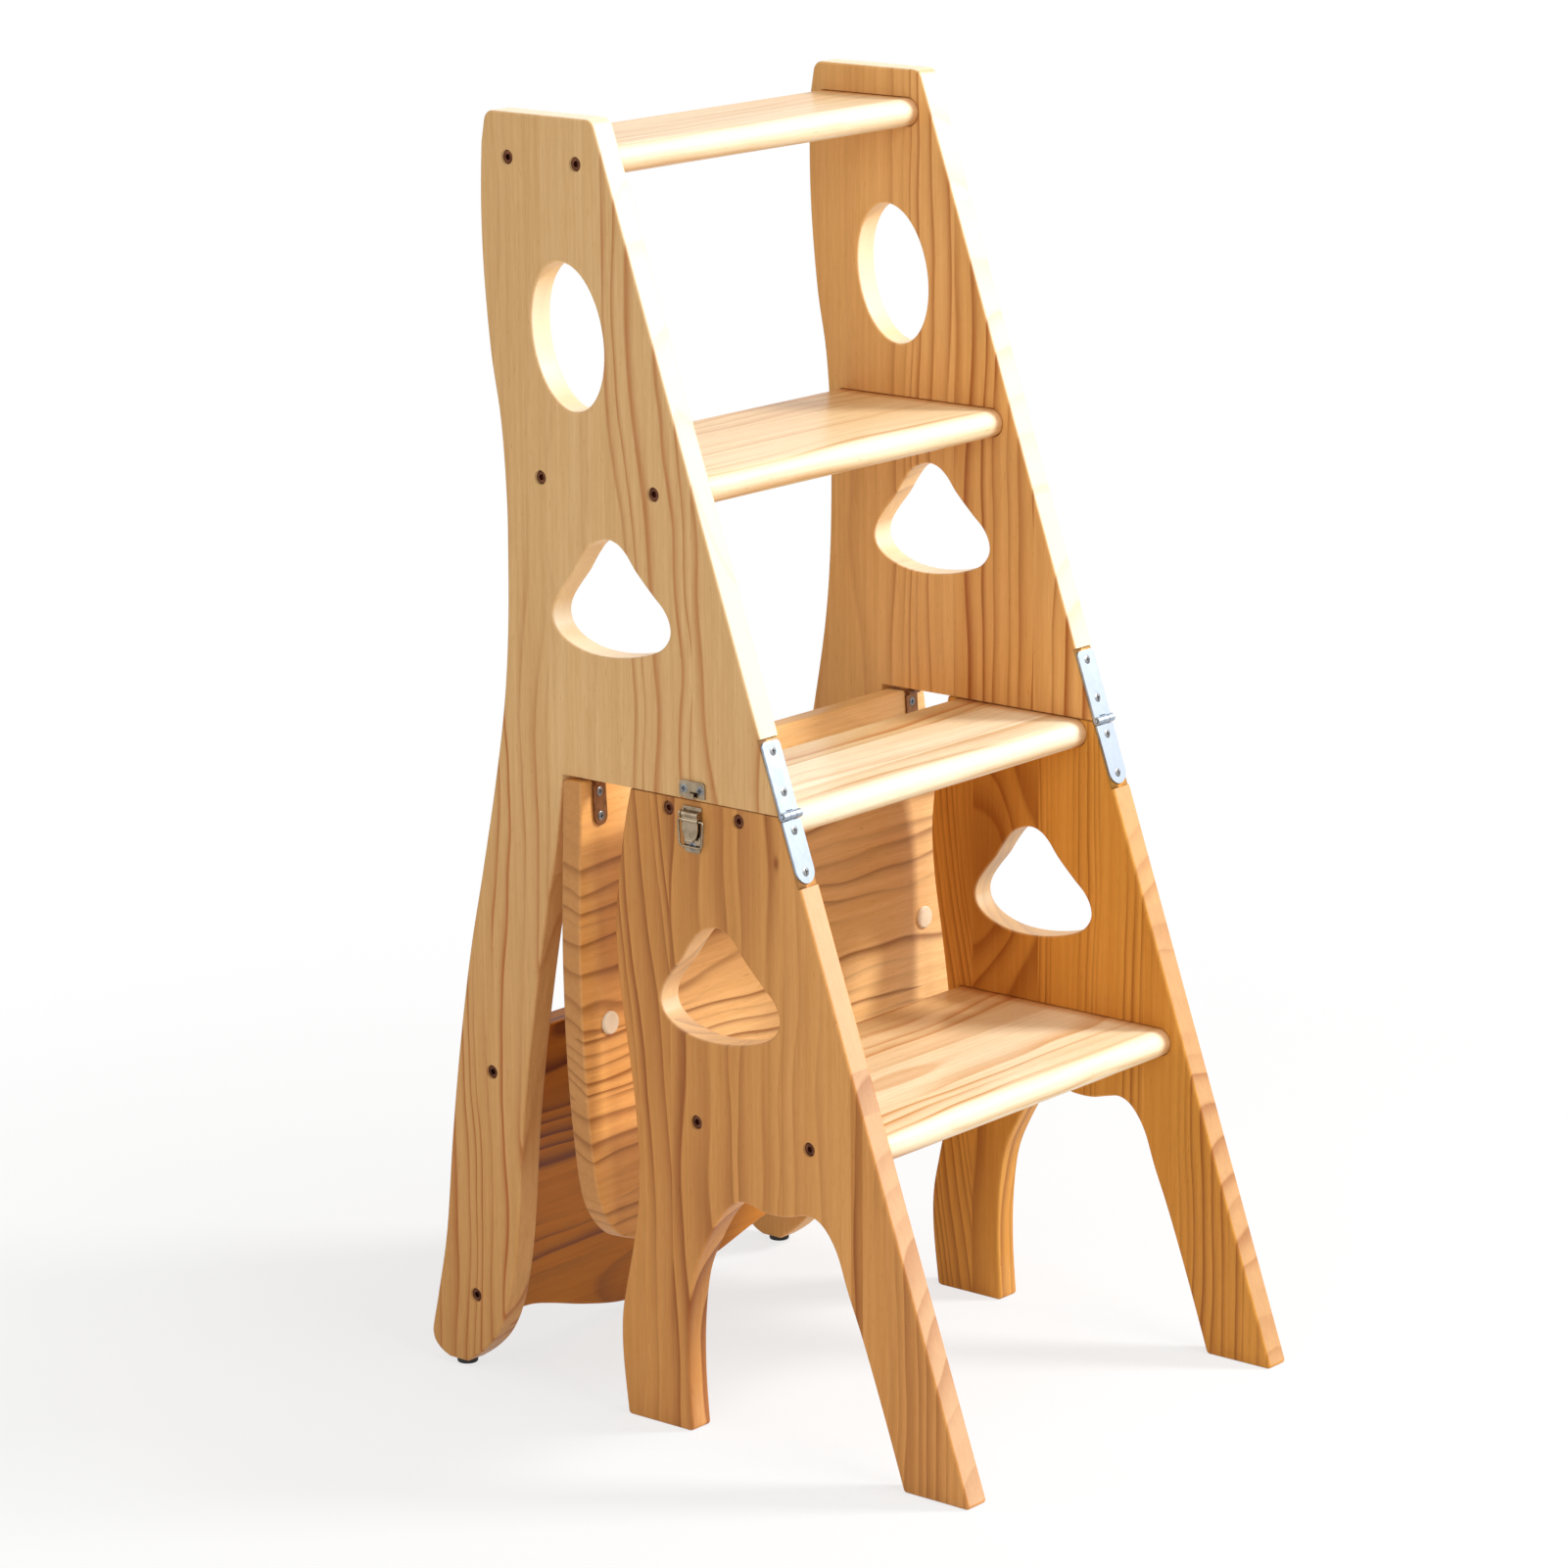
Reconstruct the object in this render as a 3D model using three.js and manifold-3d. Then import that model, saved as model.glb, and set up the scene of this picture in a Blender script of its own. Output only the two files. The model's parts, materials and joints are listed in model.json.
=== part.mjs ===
// Folding step stool chair in pine.
// Upright it is a four-step ladder. The upper frame swings forward on two strap
// hinges by half a turn, and a hinged flap then lies over both frames as the seat.
// Millimetres, +Z up, the front of the ladder faces -Y.
// The origin lies on the floor, in the middle of the width and of the depth.
import * as THREE from 'three';
import { mergeVertices } from 'three/addons/utils/BufferGeometryUtils.js';
import Module from 'manifold-3d';

const wasm = await Module();
wasm.setup();

// Overall sizes
const height = 900;
const depth = 485.5;
const frameWidth = 370;
const frontRun = 317;
const boardThickness = 20;

// Clearances and eased edges
const woodGap = 0.3;
const overrun = 5;
const sawKerf = 1;
const boardEase = 1.2;

// Treads
const treadCount = 4;
const treadThickness = 20;
const treadSetback = 11.5;
const treadRearInset = 10;
const topTreadDrop = 20;
const housingDepth = 6;
const treadRearRound = 3;

// Tread and back panel screws
const screwHeadRadius = 4.7;
const screwHeadLength = 4;
const screwShankRadius = 3.4;
const screwCoreRadius = 2.5;
const screwLength = 48;
const screwSink = 1.2;
const screwHoleClearance = 0.4;
const hexSocketRadius = 2.3;
const hexSocketDepth = 2.6;

// Cut-outs in the side panels
const dropWidth = 104;
const dropHeight = 80.3;
const ovalHeight = 101;
const ovalWidth = 62;
const ovalLean = 0.19;

// Back panel between the rear legs
const backThickness = 18;
const backHeight = 215;
const backDroop = 29;

// Rubber glides under the rear legs
const glideRadius = 7.5;
const glideNailRadius = 1.6;
const glideNailLength = 14;

// Strap hinges on the sloping front edges
const strapMargin = 0.75;
const strapThickness = 2;
const strapBarrelRadius = 3;
const strapPinRadius = 1.4;
const strapAxisLift = 0.5;
const strapUpperLength = 51;
const strapLowerLength = 47;
const strapUpperScrews = [16, 44];
const strapLowerScrews = [10.5, 39];
const strapRebateClear = 2.5;
const strapScrewLength = 16;

// Seat flap and its hinges
const seatThickness = 17;
const seatLength = 332;
const seatOverhang = 18;
const seatHang = 3.5;
const seatLegGap = 3.2;
const seatHingeWidth = 13;
const seatHingeInset = 0.7;
const seatLeafThickness = 1.5;
const seatLeafLift = 1.2;
const seatBarrelRadius = 2.55;
const seatPinRadius = 1.1;
const seatLeafLength = 31.5;
const seatLeafScrews = [8.2, 25];
const seatFrameLeafLength = 18;
const seatFrameLeafScrew = 11;
const seatScrewLength = 11;
const padRadius = 8.2;

// Leaves and pins in general
const pinGap = 0.3;
const knuckleGap = 0.4;
const leafScrewHeadRadius = 3.2;
const leafScrewHeadRise = 0.3;
const leafScrewShankRadius = 1.6;

// Toggle latches on the outer faces
const latchPlateWidth = 16.4;
const latchPlateThickness = 1;
const latchPlateTopDrop = 4;
const latchPlateHeight = 32;
const latchTailWidth = 14.4;
const latchTailHeight = 21;
const latchTailRound = 3;
const latchPivotDrop = 9;
const latchPivotStandoff = 3.4;
const latchPinRadius = 1;
const latchEarRadius = 2.8;
const latchEarThickness = 1;
const leverLength = 19;
const leverThickness = 1;
const leverBarrelRadius = 1.9;
const leverTongueLength = 10;
const leverCurlRadius = 0.9;
const leverCurlWidth = 6;
const leverSideClear = 0.3;
const bailEyeDrop = 4.2;
const bailEyeSetback = 0.3;
const bailEyeRadius = 1.6;
const bailWireRadius = 0.8;
const bailLength = 18.5;
const bailSideClear = 1.9;
const bailTaper = 1.2;
const keeperWidth = 22.5;
const keeperHeight = 11.5;
const keeperRise = 2;
const keeperRound = 3;
const keeperHookWidth = 7;
const keeperHookReach = 2.9;
const keeperHookLift = 2.6;

// Outline points, across as shares of the depth and up as shares of the height
const upperRearShares = [
  [0.858, 0.975], [0.861, 0.93], [0.858, 0.878], [0.847, 0.817], [0.831, 0.767],
  [0.823, 0.711], [0.822, 0.667], [0.825, 0.603], [0.835, 0.544], [0.856, 0.478],
  [0.883, 0.408], [0.909, 0.344], [0.933, 0.267], [0.952, 0.189], [0.967, 0.111],
  [0.986, 0.058], [0.998, 0.029], [0.999, 0.021], [0.994, 0.014], [0.981, 0.008], [0.966, 0.0045],
];
const rearToeShares = [
  [0.931, 0.0045], [0.901, 0.016], [0.873, 0.032], [0.852, 0.054], [0.838, 0.082],
  [0.828, 0.114], [0.82, 0.156], [0.813, 0.202], [0.803, 0.247], [0.791, 0.291],
  [0.776, 0.339], [0.757, 0.394], [0.738, 0.444], [0.724, 0.5],
];
const lowerRearShares = [
  [0.599, 0.5], [0.611, 0.472], [0.623, 0.43], [0.63, 0.389], [0.625, 0.348],
  [0.611, 0.3], [0.598, 0.25], [0.593, 0.209], [0.595, 0.174], [0.604, 0.141],
  [0.617, 0.109], [0.627, 0.08], [0.627, 0.047], [0.617, 0],
];
const archShares = [
  [0.496, 0], [0.502, 0.044], [0.501, 0.087], [0.491, 0.126], [0.467, 0.156],
  [0.438, 0.181], [0.412, 0.193], [0.391, 0.1945], [0.362, 0.191], [0.329, 0.191],
  [0.302, 0.1945], [0.278, 0.1965], [0.255, 0.19], [0.233, 0.173], [0.214, 0.145],
  [0.188, 0.111], [0.152, 0.058], [0.115, 0],
];
const topRearShare = 0.85;

// Cut-out points, as shares of the cut-out's own width and height
const dropShares = [
  [0.04, 1], [-0.05, 0.98], [-0.13, 0.903], [-0.215, 0.766], [-0.352, 0.592],
  [-0.438, 0.492], [-0.487, 0.392], [-0.5, 0.293], [-0.472, 0.205], [-0.41, 0.131],
  [-0.304, 0.075], [-0.15, 0.028], [0.024, 0.004], [0.197, 0.014], [0.351, 0.068],
  [0.457, 0.156], [0.5, 0.268], [0.481, 0.392], [0.409, 0.529], [0.322, 0.666],
  [0.245, 0.816], [0.16, 0.94],
];
const dropAcrossShare = 0.523;
const upperDropShare = 0.454;
const lowerDropShare = 0.251;
const ovalAcrossShare = 0.514;
const ovalUpShare = 0.453;

// The seat's outline, down its length and across its half width
const seatSideShares = [
  [0, 0.931], [0.29, 0.98], [0.44, 0.995], [0.59, 1], [0.74, 0.992], [0.87, 0.97],
  [0.935, 0.925], [0.98, 0.85], [1, 0.75],
];
// The back panel's lower edge, across half its length and down its droop
const backCrownShares = [
  [1, 0], [0.82, 0.02], [0.67, 0.22], [0.46, 0.58], [0.22, 0.9], [0, 1],
];
const backUpperScrewShare = 0.25;
const backLowerScrewShare = 0.0625;
const backLowerAcrossShare = 0.46;
const backScrewDropShare = 0.125;

// Screws along each tread, as shares of the tread's depth, and their rise above its middle
const treadScrewShares = [[0.24, 0.76], [0.25, 0.775], [0.168, 0.845], [0.16, 0.84]];
const treadScrewRiseShares = [0, 0.1, 0, 0];
const latchAcrossShare = 0.575;

// Smoothness
const roundSides = 12;
const smallSides = 8;
const screwSides = 10;
const nosingSteps = 8;
const stepsPerPoint = 2;
const holePoints = 32;
const cornerRadius = 8;
const cornerSteps = 4;
const footRound = 3;
const toeRound = 1.6;

// Places worked out from the sizes above
const foldHeight = height / 2;
const frontFootY = -depth / 2;
const halfWidth = frameWidth / 2;
const innerHalf = halfWidth - boardThickness;
const seatWidth = frameWidth + 2 * seatOverhang;
const treadRise = (foldHeight - topTreadDrop) / 2;
const frontSlope = frontRun / height;
const slopeLength = Math.hypot(frontSlope, 1);
const frontNormal = new THREE.Vector3(0, -1 / slopeLength, frontSlope / slopeLength);
const frontUp = new THREE.Vector3(0, frontSlope / slopeLength, 1 / slopeLength);
const boardCentre = halfWidth - boardThickness / 2;
const sides = [['left', -1], ['right', 1]];

const between = (low, high, share) => low + share * (high - low);
const frontEdgeY = (z) => frontFootY + frontSlope * z;
const place = ([across, up]) => new THREE.Vector2(frontFootY + across * depth, up * height);
const spline = (shares) => {
  const curve = new THREE.SplineCurve(shares.map(place));
  return curve.getPoints(stepsPerPoint * (shares.length - 1));
};

const upperRearEdge = spline(upperRearShares);
const rearToeEdge = spline(rearToeShares);
const lowerRearEdge = spline(lowerRearShares);
const archEdge = spline(archShares);
const legFrontAtFold = rearToeEdge[rearToeEdge.length - 1].x;

// Across position of an edge at a height, between its sampled points
function edgeY(edge, z) {
  for (let i = 1; i < edge.length; i += 1) {
    const [a, b] = [edge[i - 1], edge[i]];
    if ((a.y - z) * (b.y - z) <= 0 && a.y !== b.y) {
      return a.x + (b.x - a.x) * (z - a.y) / (b.y - a.y);
    }
  }
  throw new Error(`no edge at height ${z}`);
}

// Main fold axis, just proud of the sloping front edge
const foldAxis = new THREE.Vector3(0, frontEdgeY(foldHeight), foldHeight)
  .addScaledVector(frontNormal, strapAxisLift);

// Seat axis, under the upper frame's lower edge and clear of the rear legs
const seatFaceOffset = seatLeafLift + seatLeafThickness + woodGap;
const undersideZ = foldHeight + sawKerf / 2;
const lowerTopZ = foldHeight - sawKerf / 2;
const seatAxis = new THREE.Vector3(
  0,
  legFrontAtFold - seatLegGap - seatThickness - seatFaceOffset,
  undersideZ - seatFaceOffset,
);

// Materials
const wood = (name, colour) => new THREE.MeshStandardMaterial({
  name, color: colour, roughness: 0.55, metalness: 0,
});
const metal = (name, colour, roughness) => new THREE.MeshStandardMaterial({
  name, color: colour, roughness, metalness: 1,
});
const pineSide = wood('pine_side', '#c99f69');
const pineTread = wood('pine_tread', '#e3bd86');
const pineFlap = wood('pine_flap', '#cf9a58');
const bronzeScrew = metal('bronze_screw', '#6a4e2c', 0.45);
const zincStrap = metal('zinc_strap', '#c3cfdd', 0.35);
const bronzeLeaf = metal('bronze_leaf', '#74513f', 0.45);
const nickel = metal('nickel', '#c9c4b8', 0.25);
const rubber = new THREE.MeshStandardMaterial({
  name: 'rubber', color: '#1b1b1b', roughness: 0.85, metalness: 0,
});
const paleRubber = new THREE.MeshStandardMaterial({
  name: 'pale_rubber', color: '#eddcc0', roughness: 0.6, metalness: 0,
});

// Solids from closed three.js geometries, and back again
function solidOf(geometry, matrix) {
  const bare = geometry.clone();
  bare.deleteAttribute('normal');
  bare.deleteAttribute('uv');
  const merged = mergeVertices(bare, 1e-4);
  if (matrix) merged.applyMatrix4(matrix);
  return new wasm.Manifold(new wasm.Mesh({
    numProp: 3,
    vertProperties: merged.attributes.position.array,
    triVerts: new Uint32Array(merged.index.array),
  }));
}

function geometryOf(solid) {
  const mesh = solid.getMesh();
  const geometry = new THREE.BufferGeometry();
  geometry.setAttribute('position', new THREE.BufferAttribute(mesh.vertProperties, 3));
  geometry.setIndex(new THREE.BufferAttribute(mesh.triVerts, 1));
  geometry.computeVertexNormals();
  return geometry;
}

const join = (solids) => solids.reduce((whole, piece) => whole.add(piece));
const cut = (solid, cutters) => cutters.reduce((rest, cutter) => rest.subtract(cutter), solid);

// A round rod between two points
function rod(from, to, radius, count = roundSides) {
  const along = to.clone().sub(from);
  const geometry = new THREE.CylinderGeometry(radius, radius, along.length(), count);
  const turn = new THREE.Quaternion()
    .setFromUnitVectors(new THREE.Vector3(0, 1, 0), along.clone().normalize());
  const middle = from.clone().add(to).multiplyScalar(0.5);
  return solidOf(geometry, new THREE.Matrix4().compose(middle, turn, new THREE.Vector3(1, 1, 1)));
}

// A rod along X at a place across and up
const crossRod = (x0, x1, y, z, radius, count) => rod(
  new THREE.Vector3(Math.min(x0, x1), y, z),
  new THREE.Vector3(Math.max(x0, x1), y, z),
  radius,
  count,
);

// A box between two corners
function block(a, b) {
  const size = b.clone().sub(a);
  const middle = a.clone().add(b).multiplyScalar(0.5);
  const geometry = new THREE.BoxGeometry(Math.abs(size.x), Math.abs(size.y), Math.abs(size.z));
  return solidOf(geometry, new THREE.Matrix4().setPosition(middle));
}

// A board whose outline lies across and up, and whose thickness lies along X
function board(outline, x0, x1, ease = 0, holes = []) {
  const shape = new THREE.Shape(outline);
  shape.holes = holes.map((points) => new THREE.Path(points));
  const geometry = new THREE.ExtrudeGeometry(shape, {
    depth: x1 - x0 - 2 * ease,
    steps: 1,
    bevelEnabled: ease > 0,
    bevelThickness: ease,
    bevelSize: ease,
    bevelOffset: -ease,
    bevelSegments: 1,
  });
  const upright = new THREE.Matrix4().makeBasis(
    new THREE.Vector3(0, 1, 0),
    new THREE.Vector3(0, 0, 1),
    new THREE.Vector3(1, 0, 0),
  );
  upright.setPosition(x0 + ease, 0, 0);
  return solidOf(geometry, upright);
}

// An arc that rounds a corner, tangent to both of its edges
function roundedCorner(before, corner, after, radius) {
  const toBefore = before.clone().sub(corner).normalize();
  const toAfter = after.clone().sub(corner).normalize();
  const half = Math.acos(toBefore.dot(toAfter)) / 2;
  const reach = radius / Math.tan(half);
  const middle = toBefore.clone().add(toAfter).normalize();
  const centre = corner.clone().addScaledVector(middle, radius / Math.sin(half));
  const start = corner.clone().addScaledVector(toBefore, reach).sub(centre);
  const end = corner.clone().addScaledVector(toAfter, reach).sub(centre);
  const sweep = Math.atan2(start.x * end.y - start.y * end.x, start.dot(end));
  return Array.from({ length: cornerSteps + 1 }, (_, i) => (
    start.clone().rotateAround(new THREE.Vector2(0, 0), sweep * i / cornerSteps).add(centre)
  ));
}

const group = new THREE.Group();
function add(name, solid, material, parent = group) {
  const mesh = new THREE.Mesh(solid.isBufferGeometry ? solid : geometryOf(solid), material.clone());
  mesh.name = name;
  parent.add(mesh);
  return mesh;
}

// Treads: the first below the fold, the second level with it, two above
function treadPlace(index) {
  const top = lowerTopZ + (index - 1) * treadRise;
  const middle = top - treadThickness / 2;
  const rearEdge = index < 2 ? lowerRearEdge : upperRearEdge;
  const front = frontEdgeY(middle) + treadSetback;
  const rear = edgeY(rearEdge, middle) - treadRearInset;
  return { top, middle, front, rear };
}
const treads = Array.from({ length: treadCount }, (_, index) => treadPlace(index));

function treadOutline({ top, middle, front, rear }, grow) {
  const radius = treadThickness / 2 + grow;
  const nose = Array.from({ length: nosingSteps + 1 }, (_, i) => {
    const angle = Math.PI / 2 + Math.PI * i / nosingSteps;
    return new THREE.Vector2(
      front + treadThickness / 2 + radius * Math.cos(angle),
      middle + radius * Math.sin(angle),
    );
  });
  const [low, high, back] = [top - treadThickness - grow, top + grow, rear + grow];
  const topFront = nose[0];
  const bottomFront = nose[nose.length - 1];
  const lowBack = new THREE.Vector2(back, low);
  const highBack = new THREE.Vector2(back, high);
  return [
    ...nose,
    ...roundedCorner(bottomFront, lowBack, highBack, treadRearRound),
    ...roundedCorner(lowBack, highBack, topFront, treadRearRound),
  ];
}

// Screw places for each tread and for the back panel
const screwRows = treads.map(({ front, rear, middle }, index) => {
  const up = middle + treadScrewRiseShares[index] * treadThickness;
  return treadScrewShares[index].map((share) => new THREE.Vector2(between(front, rear, share), up));
});

function legPoint(upShare, acrossShare) {
  const z = upShare * height;
  const front = edgeY(rearToeEdge, z);
  const rear = edgeY(upperRearEdge, z);
  return new THREE.Vector2(between(front, rear, acrossShare), z);
}
const backUpperScrew = legPoint(backUpperScrewShare, 1 / 2);
const backLowerScrew = legPoint(backLowerScrewShare, backLowerAcrossShare);
const backScrews = [backUpperScrew, backLowerScrew];

const screwTip = halfWidth - screwSink - screwLength;
function screwHoleCutters(side, places) {
  return places.flatMap(({ x: y, y: z }) => [
    crossRod(
      side * (halfWidth - screwSink - screwHeadLength - screwHoleClearance),
      side * (halfWidth + overrun),
      y,
      z,
      screwHeadRadius + screwHoleClearance,
    ),
    crossRod(
      side * (innerHalf - overrun),
      side * (halfWidth + overrun),
      y,
      z,
      screwShankRadius + screwHoleClearance,
    ),
  ]);
}

function screwPilotCutters(places) {
  return sides.flatMap(([, side]) => places.map(({ x: y, y: z }) => crossRod(
    side * (screwTip - screwHoleClearance),
    side * (halfWidth + overrun),
    y,
    z,
    screwCoreRadius + screwHoleClearance,
    smallSides,
  )));
}

// Side panels
function corner(y, z) {
  return new THREE.Vector2(y, z);
}
const topRear = corner(frontFootY + topRearShare * depth, height);
const topFront = corner(frontEdgeY(height), height);
const foldFront = corner(frontEdgeY(foldHeight), foldHeight);
const frontFoot = corner(frontFootY, 0);

const upperOutline = [
  foldFront,
  ...roundedCorner(foldFront, topFront, topRear, cornerRadius),
  ...roundedCorner(topFront, topRear, upperRearEdge[0], cornerRadius),
  ...upperRearEdge,
  ...rearToeEdge,
];
const lowerOutline = [
  ...lowerRearEdge.slice(0, -1),
  ...roundedCorner(lowerRearEdge.at(-2), lowerRearEdge.at(-1), archEdge[0], footRound),
  ...roundedCorner(lowerRearEdge.at(-1), archEdge[0], archEdge[1], footRound),
  ...archEdge.slice(1, -1),
  ...roundedCorner(archEdge.at(-2), archEdge.at(-1), frontFoot, footRound),
  ...roundedCorner(archEdge.at(-1), frontFoot, foldFront, toeRound),
  foldFront,
];

function dropHole(rearEdge, bottom) {
  const middle = bottom + dropHeight / 2;
  const front = frontEdgeY(middle);
  const across = front + dropAcrossShare * (edgeY(rearEdge, middle) - front);
  const points = dropShares.map(([y, z]) => (
    new THREE.Vector2(across + y * dropWidth, bottom + z * dropHeight)
  ));
  const curve = new THREE.SplineCurve([...points, points[0]]);
  return curve.getPoints(holePoints).slice(0, -1);
}

function ovalHole() {
  const low = treads[2].top;
  const high = treads[3].top - treadThickness;
  const middle = low + ovalUpShare * (high - low);
  const front = frontEdgeY(middle);
  const across = front + ovalAcrossShare * (edgeY(upperRearEdge, middle) - front);
  const curve = new THREE.EllipseCurve(
    across, middle, ovalWidth / 2, ovalHeight / 2, 0, 2 * Math.PI, false, -ovalLean,
  );
  return curve.getPoints(holePoints).slice(0, -1);
}

const upperDropBottom = between(lowerTopZ, treads[2].top - treadThickness, upperDropShare);
const lowerDropBottom = between(treads[0].top, treads[1].top - treadThickness, lowerDropShare);
const upperHoles = [dropHole(upperRearEdge, upperDropBottom), ovalHole()];
const lowerHoles = [dropHole(lowerRearEdge, lowerDropBottom)];

function housingCutters(side, indexes) {
  return indexes.map((index) => {
    const outline = treadOutline(treads[index], woodGap);
    const inside = side * (innerHalf - overrun);
    const floor = side * (innerHalf + housingDepth);
    return board(outline, Math.min(inside, floor), Math.max(inside, floor));
  });
}

// Rebates and barrel grooves for the strap hinges, in the slope's own directions
const strapFrame = new THREE.Matrix4().makeBasis(
  new THREE.Vector3(1, 0, 0),
  frontNormal.clone().negate(),
  frontUp,
);
function inSlope(solidGeometry, x) {
  const matrix = strapFrame.clone().setPosition(x, foldAxis.y, foldAxis.z);
  return solidOf(solidGeometry, matrix);
}

function strapCutters(side) {
  const rebateDepth = strapThickness + woodGap;
  const low = -strapLowerLength - strapRebateClear;
  const high = strapUpperLength + strapRebateClear;
  const near = strapAxisLift - overrun;
  const far = strapAxisLift + rebateDepth;
  const rebate = new THREE.BoxGeometry(boardThickness + 2 * overrun, far - near, high - low);
  rebate.translate(0, (near + far) / 2, (low + high) / 2);
  const x = side * boardCentre;
  const groove = crossRod(
    x - boardThickness,
    x + boardThickness,
    foldAxis.y,
    foldAxis.z,
    strapBarrelRadius + knuckleGap,
    roundSides,
  );
  return [inSlope(rebate, x), groove];
}

// Wood screws that hold a leaf, in the leaf's own directions
function leafScrewSolids(places, thickness, lift, length, grow = 0) {
  return places.flatMap((z) => [
    rod(
      new THREE.Vector3(0, lift - leafScrewHeadRise - grow, z),
      new THREE.Vector3(0, lift + thickness / 2, z),
      leafScrewHeadRadius + grow,
      smallSides,
    ),
    rod(
      new THREE.Vector3(0, lift + thickness / 2, z),
      new THREE.Vector3(0, lift + length + grow, z),
      leafScrewShankRadius + grow,
      smallSides,
    ),
  ]);
}

// One hinge leaf about an axis along X: the plate lies behind the axis and runs
// down (direction -1) or up (direction 1), and the knuckles stand on its end
function hingeLeaf({
  width, length, thickness, lift, barrelRadius, pinRadius, middle, direction, screws,
  screwLength: reach, endRadius,
}) {
  const slot = barrelRadius + knuckleGap;
  const outline = new THREE.Shape();
  const half = width / 2;
  outline.moveTo(-half, slot);
  outline.lineTo(half, slot);
  outline.lineTo(half, length - endRadius);
  outline.absarc(half - endRadius, length - endRadius, endRadius, 0, Math.PI / 2);
  outline.absarc(endRadius - half, length - endRadius, endRadius, Math.PI / 2, Math.PI);
  outline.lineTo(-half, slot);
  const plateGeometry = new THREE.ExtrudeGeometry(outline, {
    depth: thickness, bevelEnabled: false, curveSegments: cornerSteps,
  });
  plateGeometry.rotateX(Math.PI / 2);
  plateGeometry.translate(0, lift + thickness, 0);
  const plate = solidOf(plateGeometry);
  const third = width / 3;
  const spans = middle
    ? [[-third / 2 + knuckleGap / 2, third / 2 - knuckleGap / 2]]
    : [[-half, -third / 2 - knuckleGap / 2], [third / 2 + knuckleGap / 2, half]];
  const knuckles = spans.flatMap(([a, b]) => [
    crossRod(a, b, 0, 0, barrelRadius, roundSides),
    block(new THREE.Vector3(a, lift, 0), new THREE.Vector3(b, lift + thickness, slot + thickness)),
  ]);
  const bore = crossRod(-half - overrun, half + overrun, 0, 0, pinRadius + pinGap, smallSides);
  const fixings = leafScrewSolids(screws, thickness, lift, reach);
  const leaf = join([cut(join([plate, ...knuckles]), [bore]), ...fixings]);
  const geometry = geometryOf(leaf);
  if (direction < 0) geometry.rotateY(Math.PI);
  return geometry;
}

const strapWidth = boardThickness - 2 * strapMargin;
const strapSpec = {
  width: strapWidth,
  thickness: strapThickness,
  lift: strapAxisLift,
  barrelRadius: strapBarrelRadius,
  pinRadius: strapPinRadius,
  screwLength: strapScrewLength,
};
const strapUpperLeaf = () => hingeLeaf({
  ...strapSpec,
  length: strapUpperLength,
  middle: false,
  direction: 1,
  screws: strapUpperScrews,
  endRadius: strapWidth / 5,
});
const strapLowerLeaf = () => hingeLeaf({
  ...strapSpec,
  length: strapLowerLength,
  middle: true,
  direction: -1,
  screws: strapLowerScrews,
  endRadius: strapWidth / 2,
});
function strapScrewCutters(side, places, direction) {
  const up = places.map((z) => direction * z);
  return leafScrewSolids(up, strapThickness, strapAxisLift, strapScrewLength, woodGap)
    .map((solid) => inSlope(geometryOf(solid), side * boardCentre));
}

// Seat hinges: the frame leaf lies under the upper panel, the seat leaf on the flap
const seatHingeX = innerHalf + seatHingeInset + seatHingeWidth / 2;
const seatSpec = {
  width: seatHingeWidth,
  thickness: seatLeafThickness,
  lift: seatLeafLift,
  barrelRadius: seatBarrelRadius,
  pinRadius: seatPinRadius,
  screwLength: seatScrewLength,
  direction: -1,
};
const seatFlapLeaf = () => hingeLeaf({
  ...seatSpec,
  length: seatLeafLength,
  middle: true,
  screws: seatLeafScrews,
  endRadius: seatHingeWidth / 2,
});
const seatFrameLeaf = () => hingeLeaf({
  ...seatSpec,
  length: seatFrameLeafLength,
  middle: false,
  screws: [seatFrameLeafScrew],
  endRadius: seatHingeWidth / 5,
}).rotateX(Math.PI / 2);
const seatScrewCutter = (z) => geometryOf(
  join(leafScrewSolids([z], seatLeafThickness, seatLeafLift, seatScrewLength, woodGap)),
);
function seatFrameScrewCutter(side) {
  const geometry = seatScrewCutter(-seatFrameLeafScrew).rotateX(Math.PI / 2);
  geometry.translate(side * seatHingeX, seatAxis.y, seatAxis.z);
  return solidOf(geometry);
}

// Latch places on the outer face; outward is away from the panel's face
const latchY = between(frontEdgeY(foldHeight), lowerRearEdge[0].x, latchAcrossShare);
const latchPivotZ = foldHeight - latchPivotDrop;
const onFace = (side, outward, across, up) => new THREE.Vector3(
  side * (halfWidth + outward), latchY + across, up,
);
const latchScrewUps = [
  latchPivotZ - leverLength / 2,
  latchPivotZ - leverLength - leafScrewHeadRadius,
];
const keeperScrewAcross = keeperWidth / 2 - leafScrewHeadRadius - latchPlateThickness;
const keeperMiddleZ = foldHeight + keeperRise + keeperHeight / 2;
const latchScrewReach = boardThickness / 2;
function latchScrewSolids(side, places, grow = 0) {
  const plateFace = woodGap + latchPlateThickness;
  return places.flatMap(([across, up]) => [
    rod(
      onFace(side, plateFace + leafScrewHeadRise + grow, across, up),
      onFace(side, plateFace - latchPlateThickness / 2, across, up),
      leafScrewHeadRadius + grow,
      smallSides,
    ),
    rod(
      onFace(side, plateFace - latchPlateThickness / 2, across, up),
      onFace(side, -latchScrewReach - grow, across, up),
      leafScrewShankRadius + grow,
      smallSides,
    ),
  ]);
}
const baseScrews = latchScrewUps.map((up) => [0, up]);
const keeperScrews = [-1, 1].map((sign) => [sign * keeperScrewAcross, keeperMiddleZ]);

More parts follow.
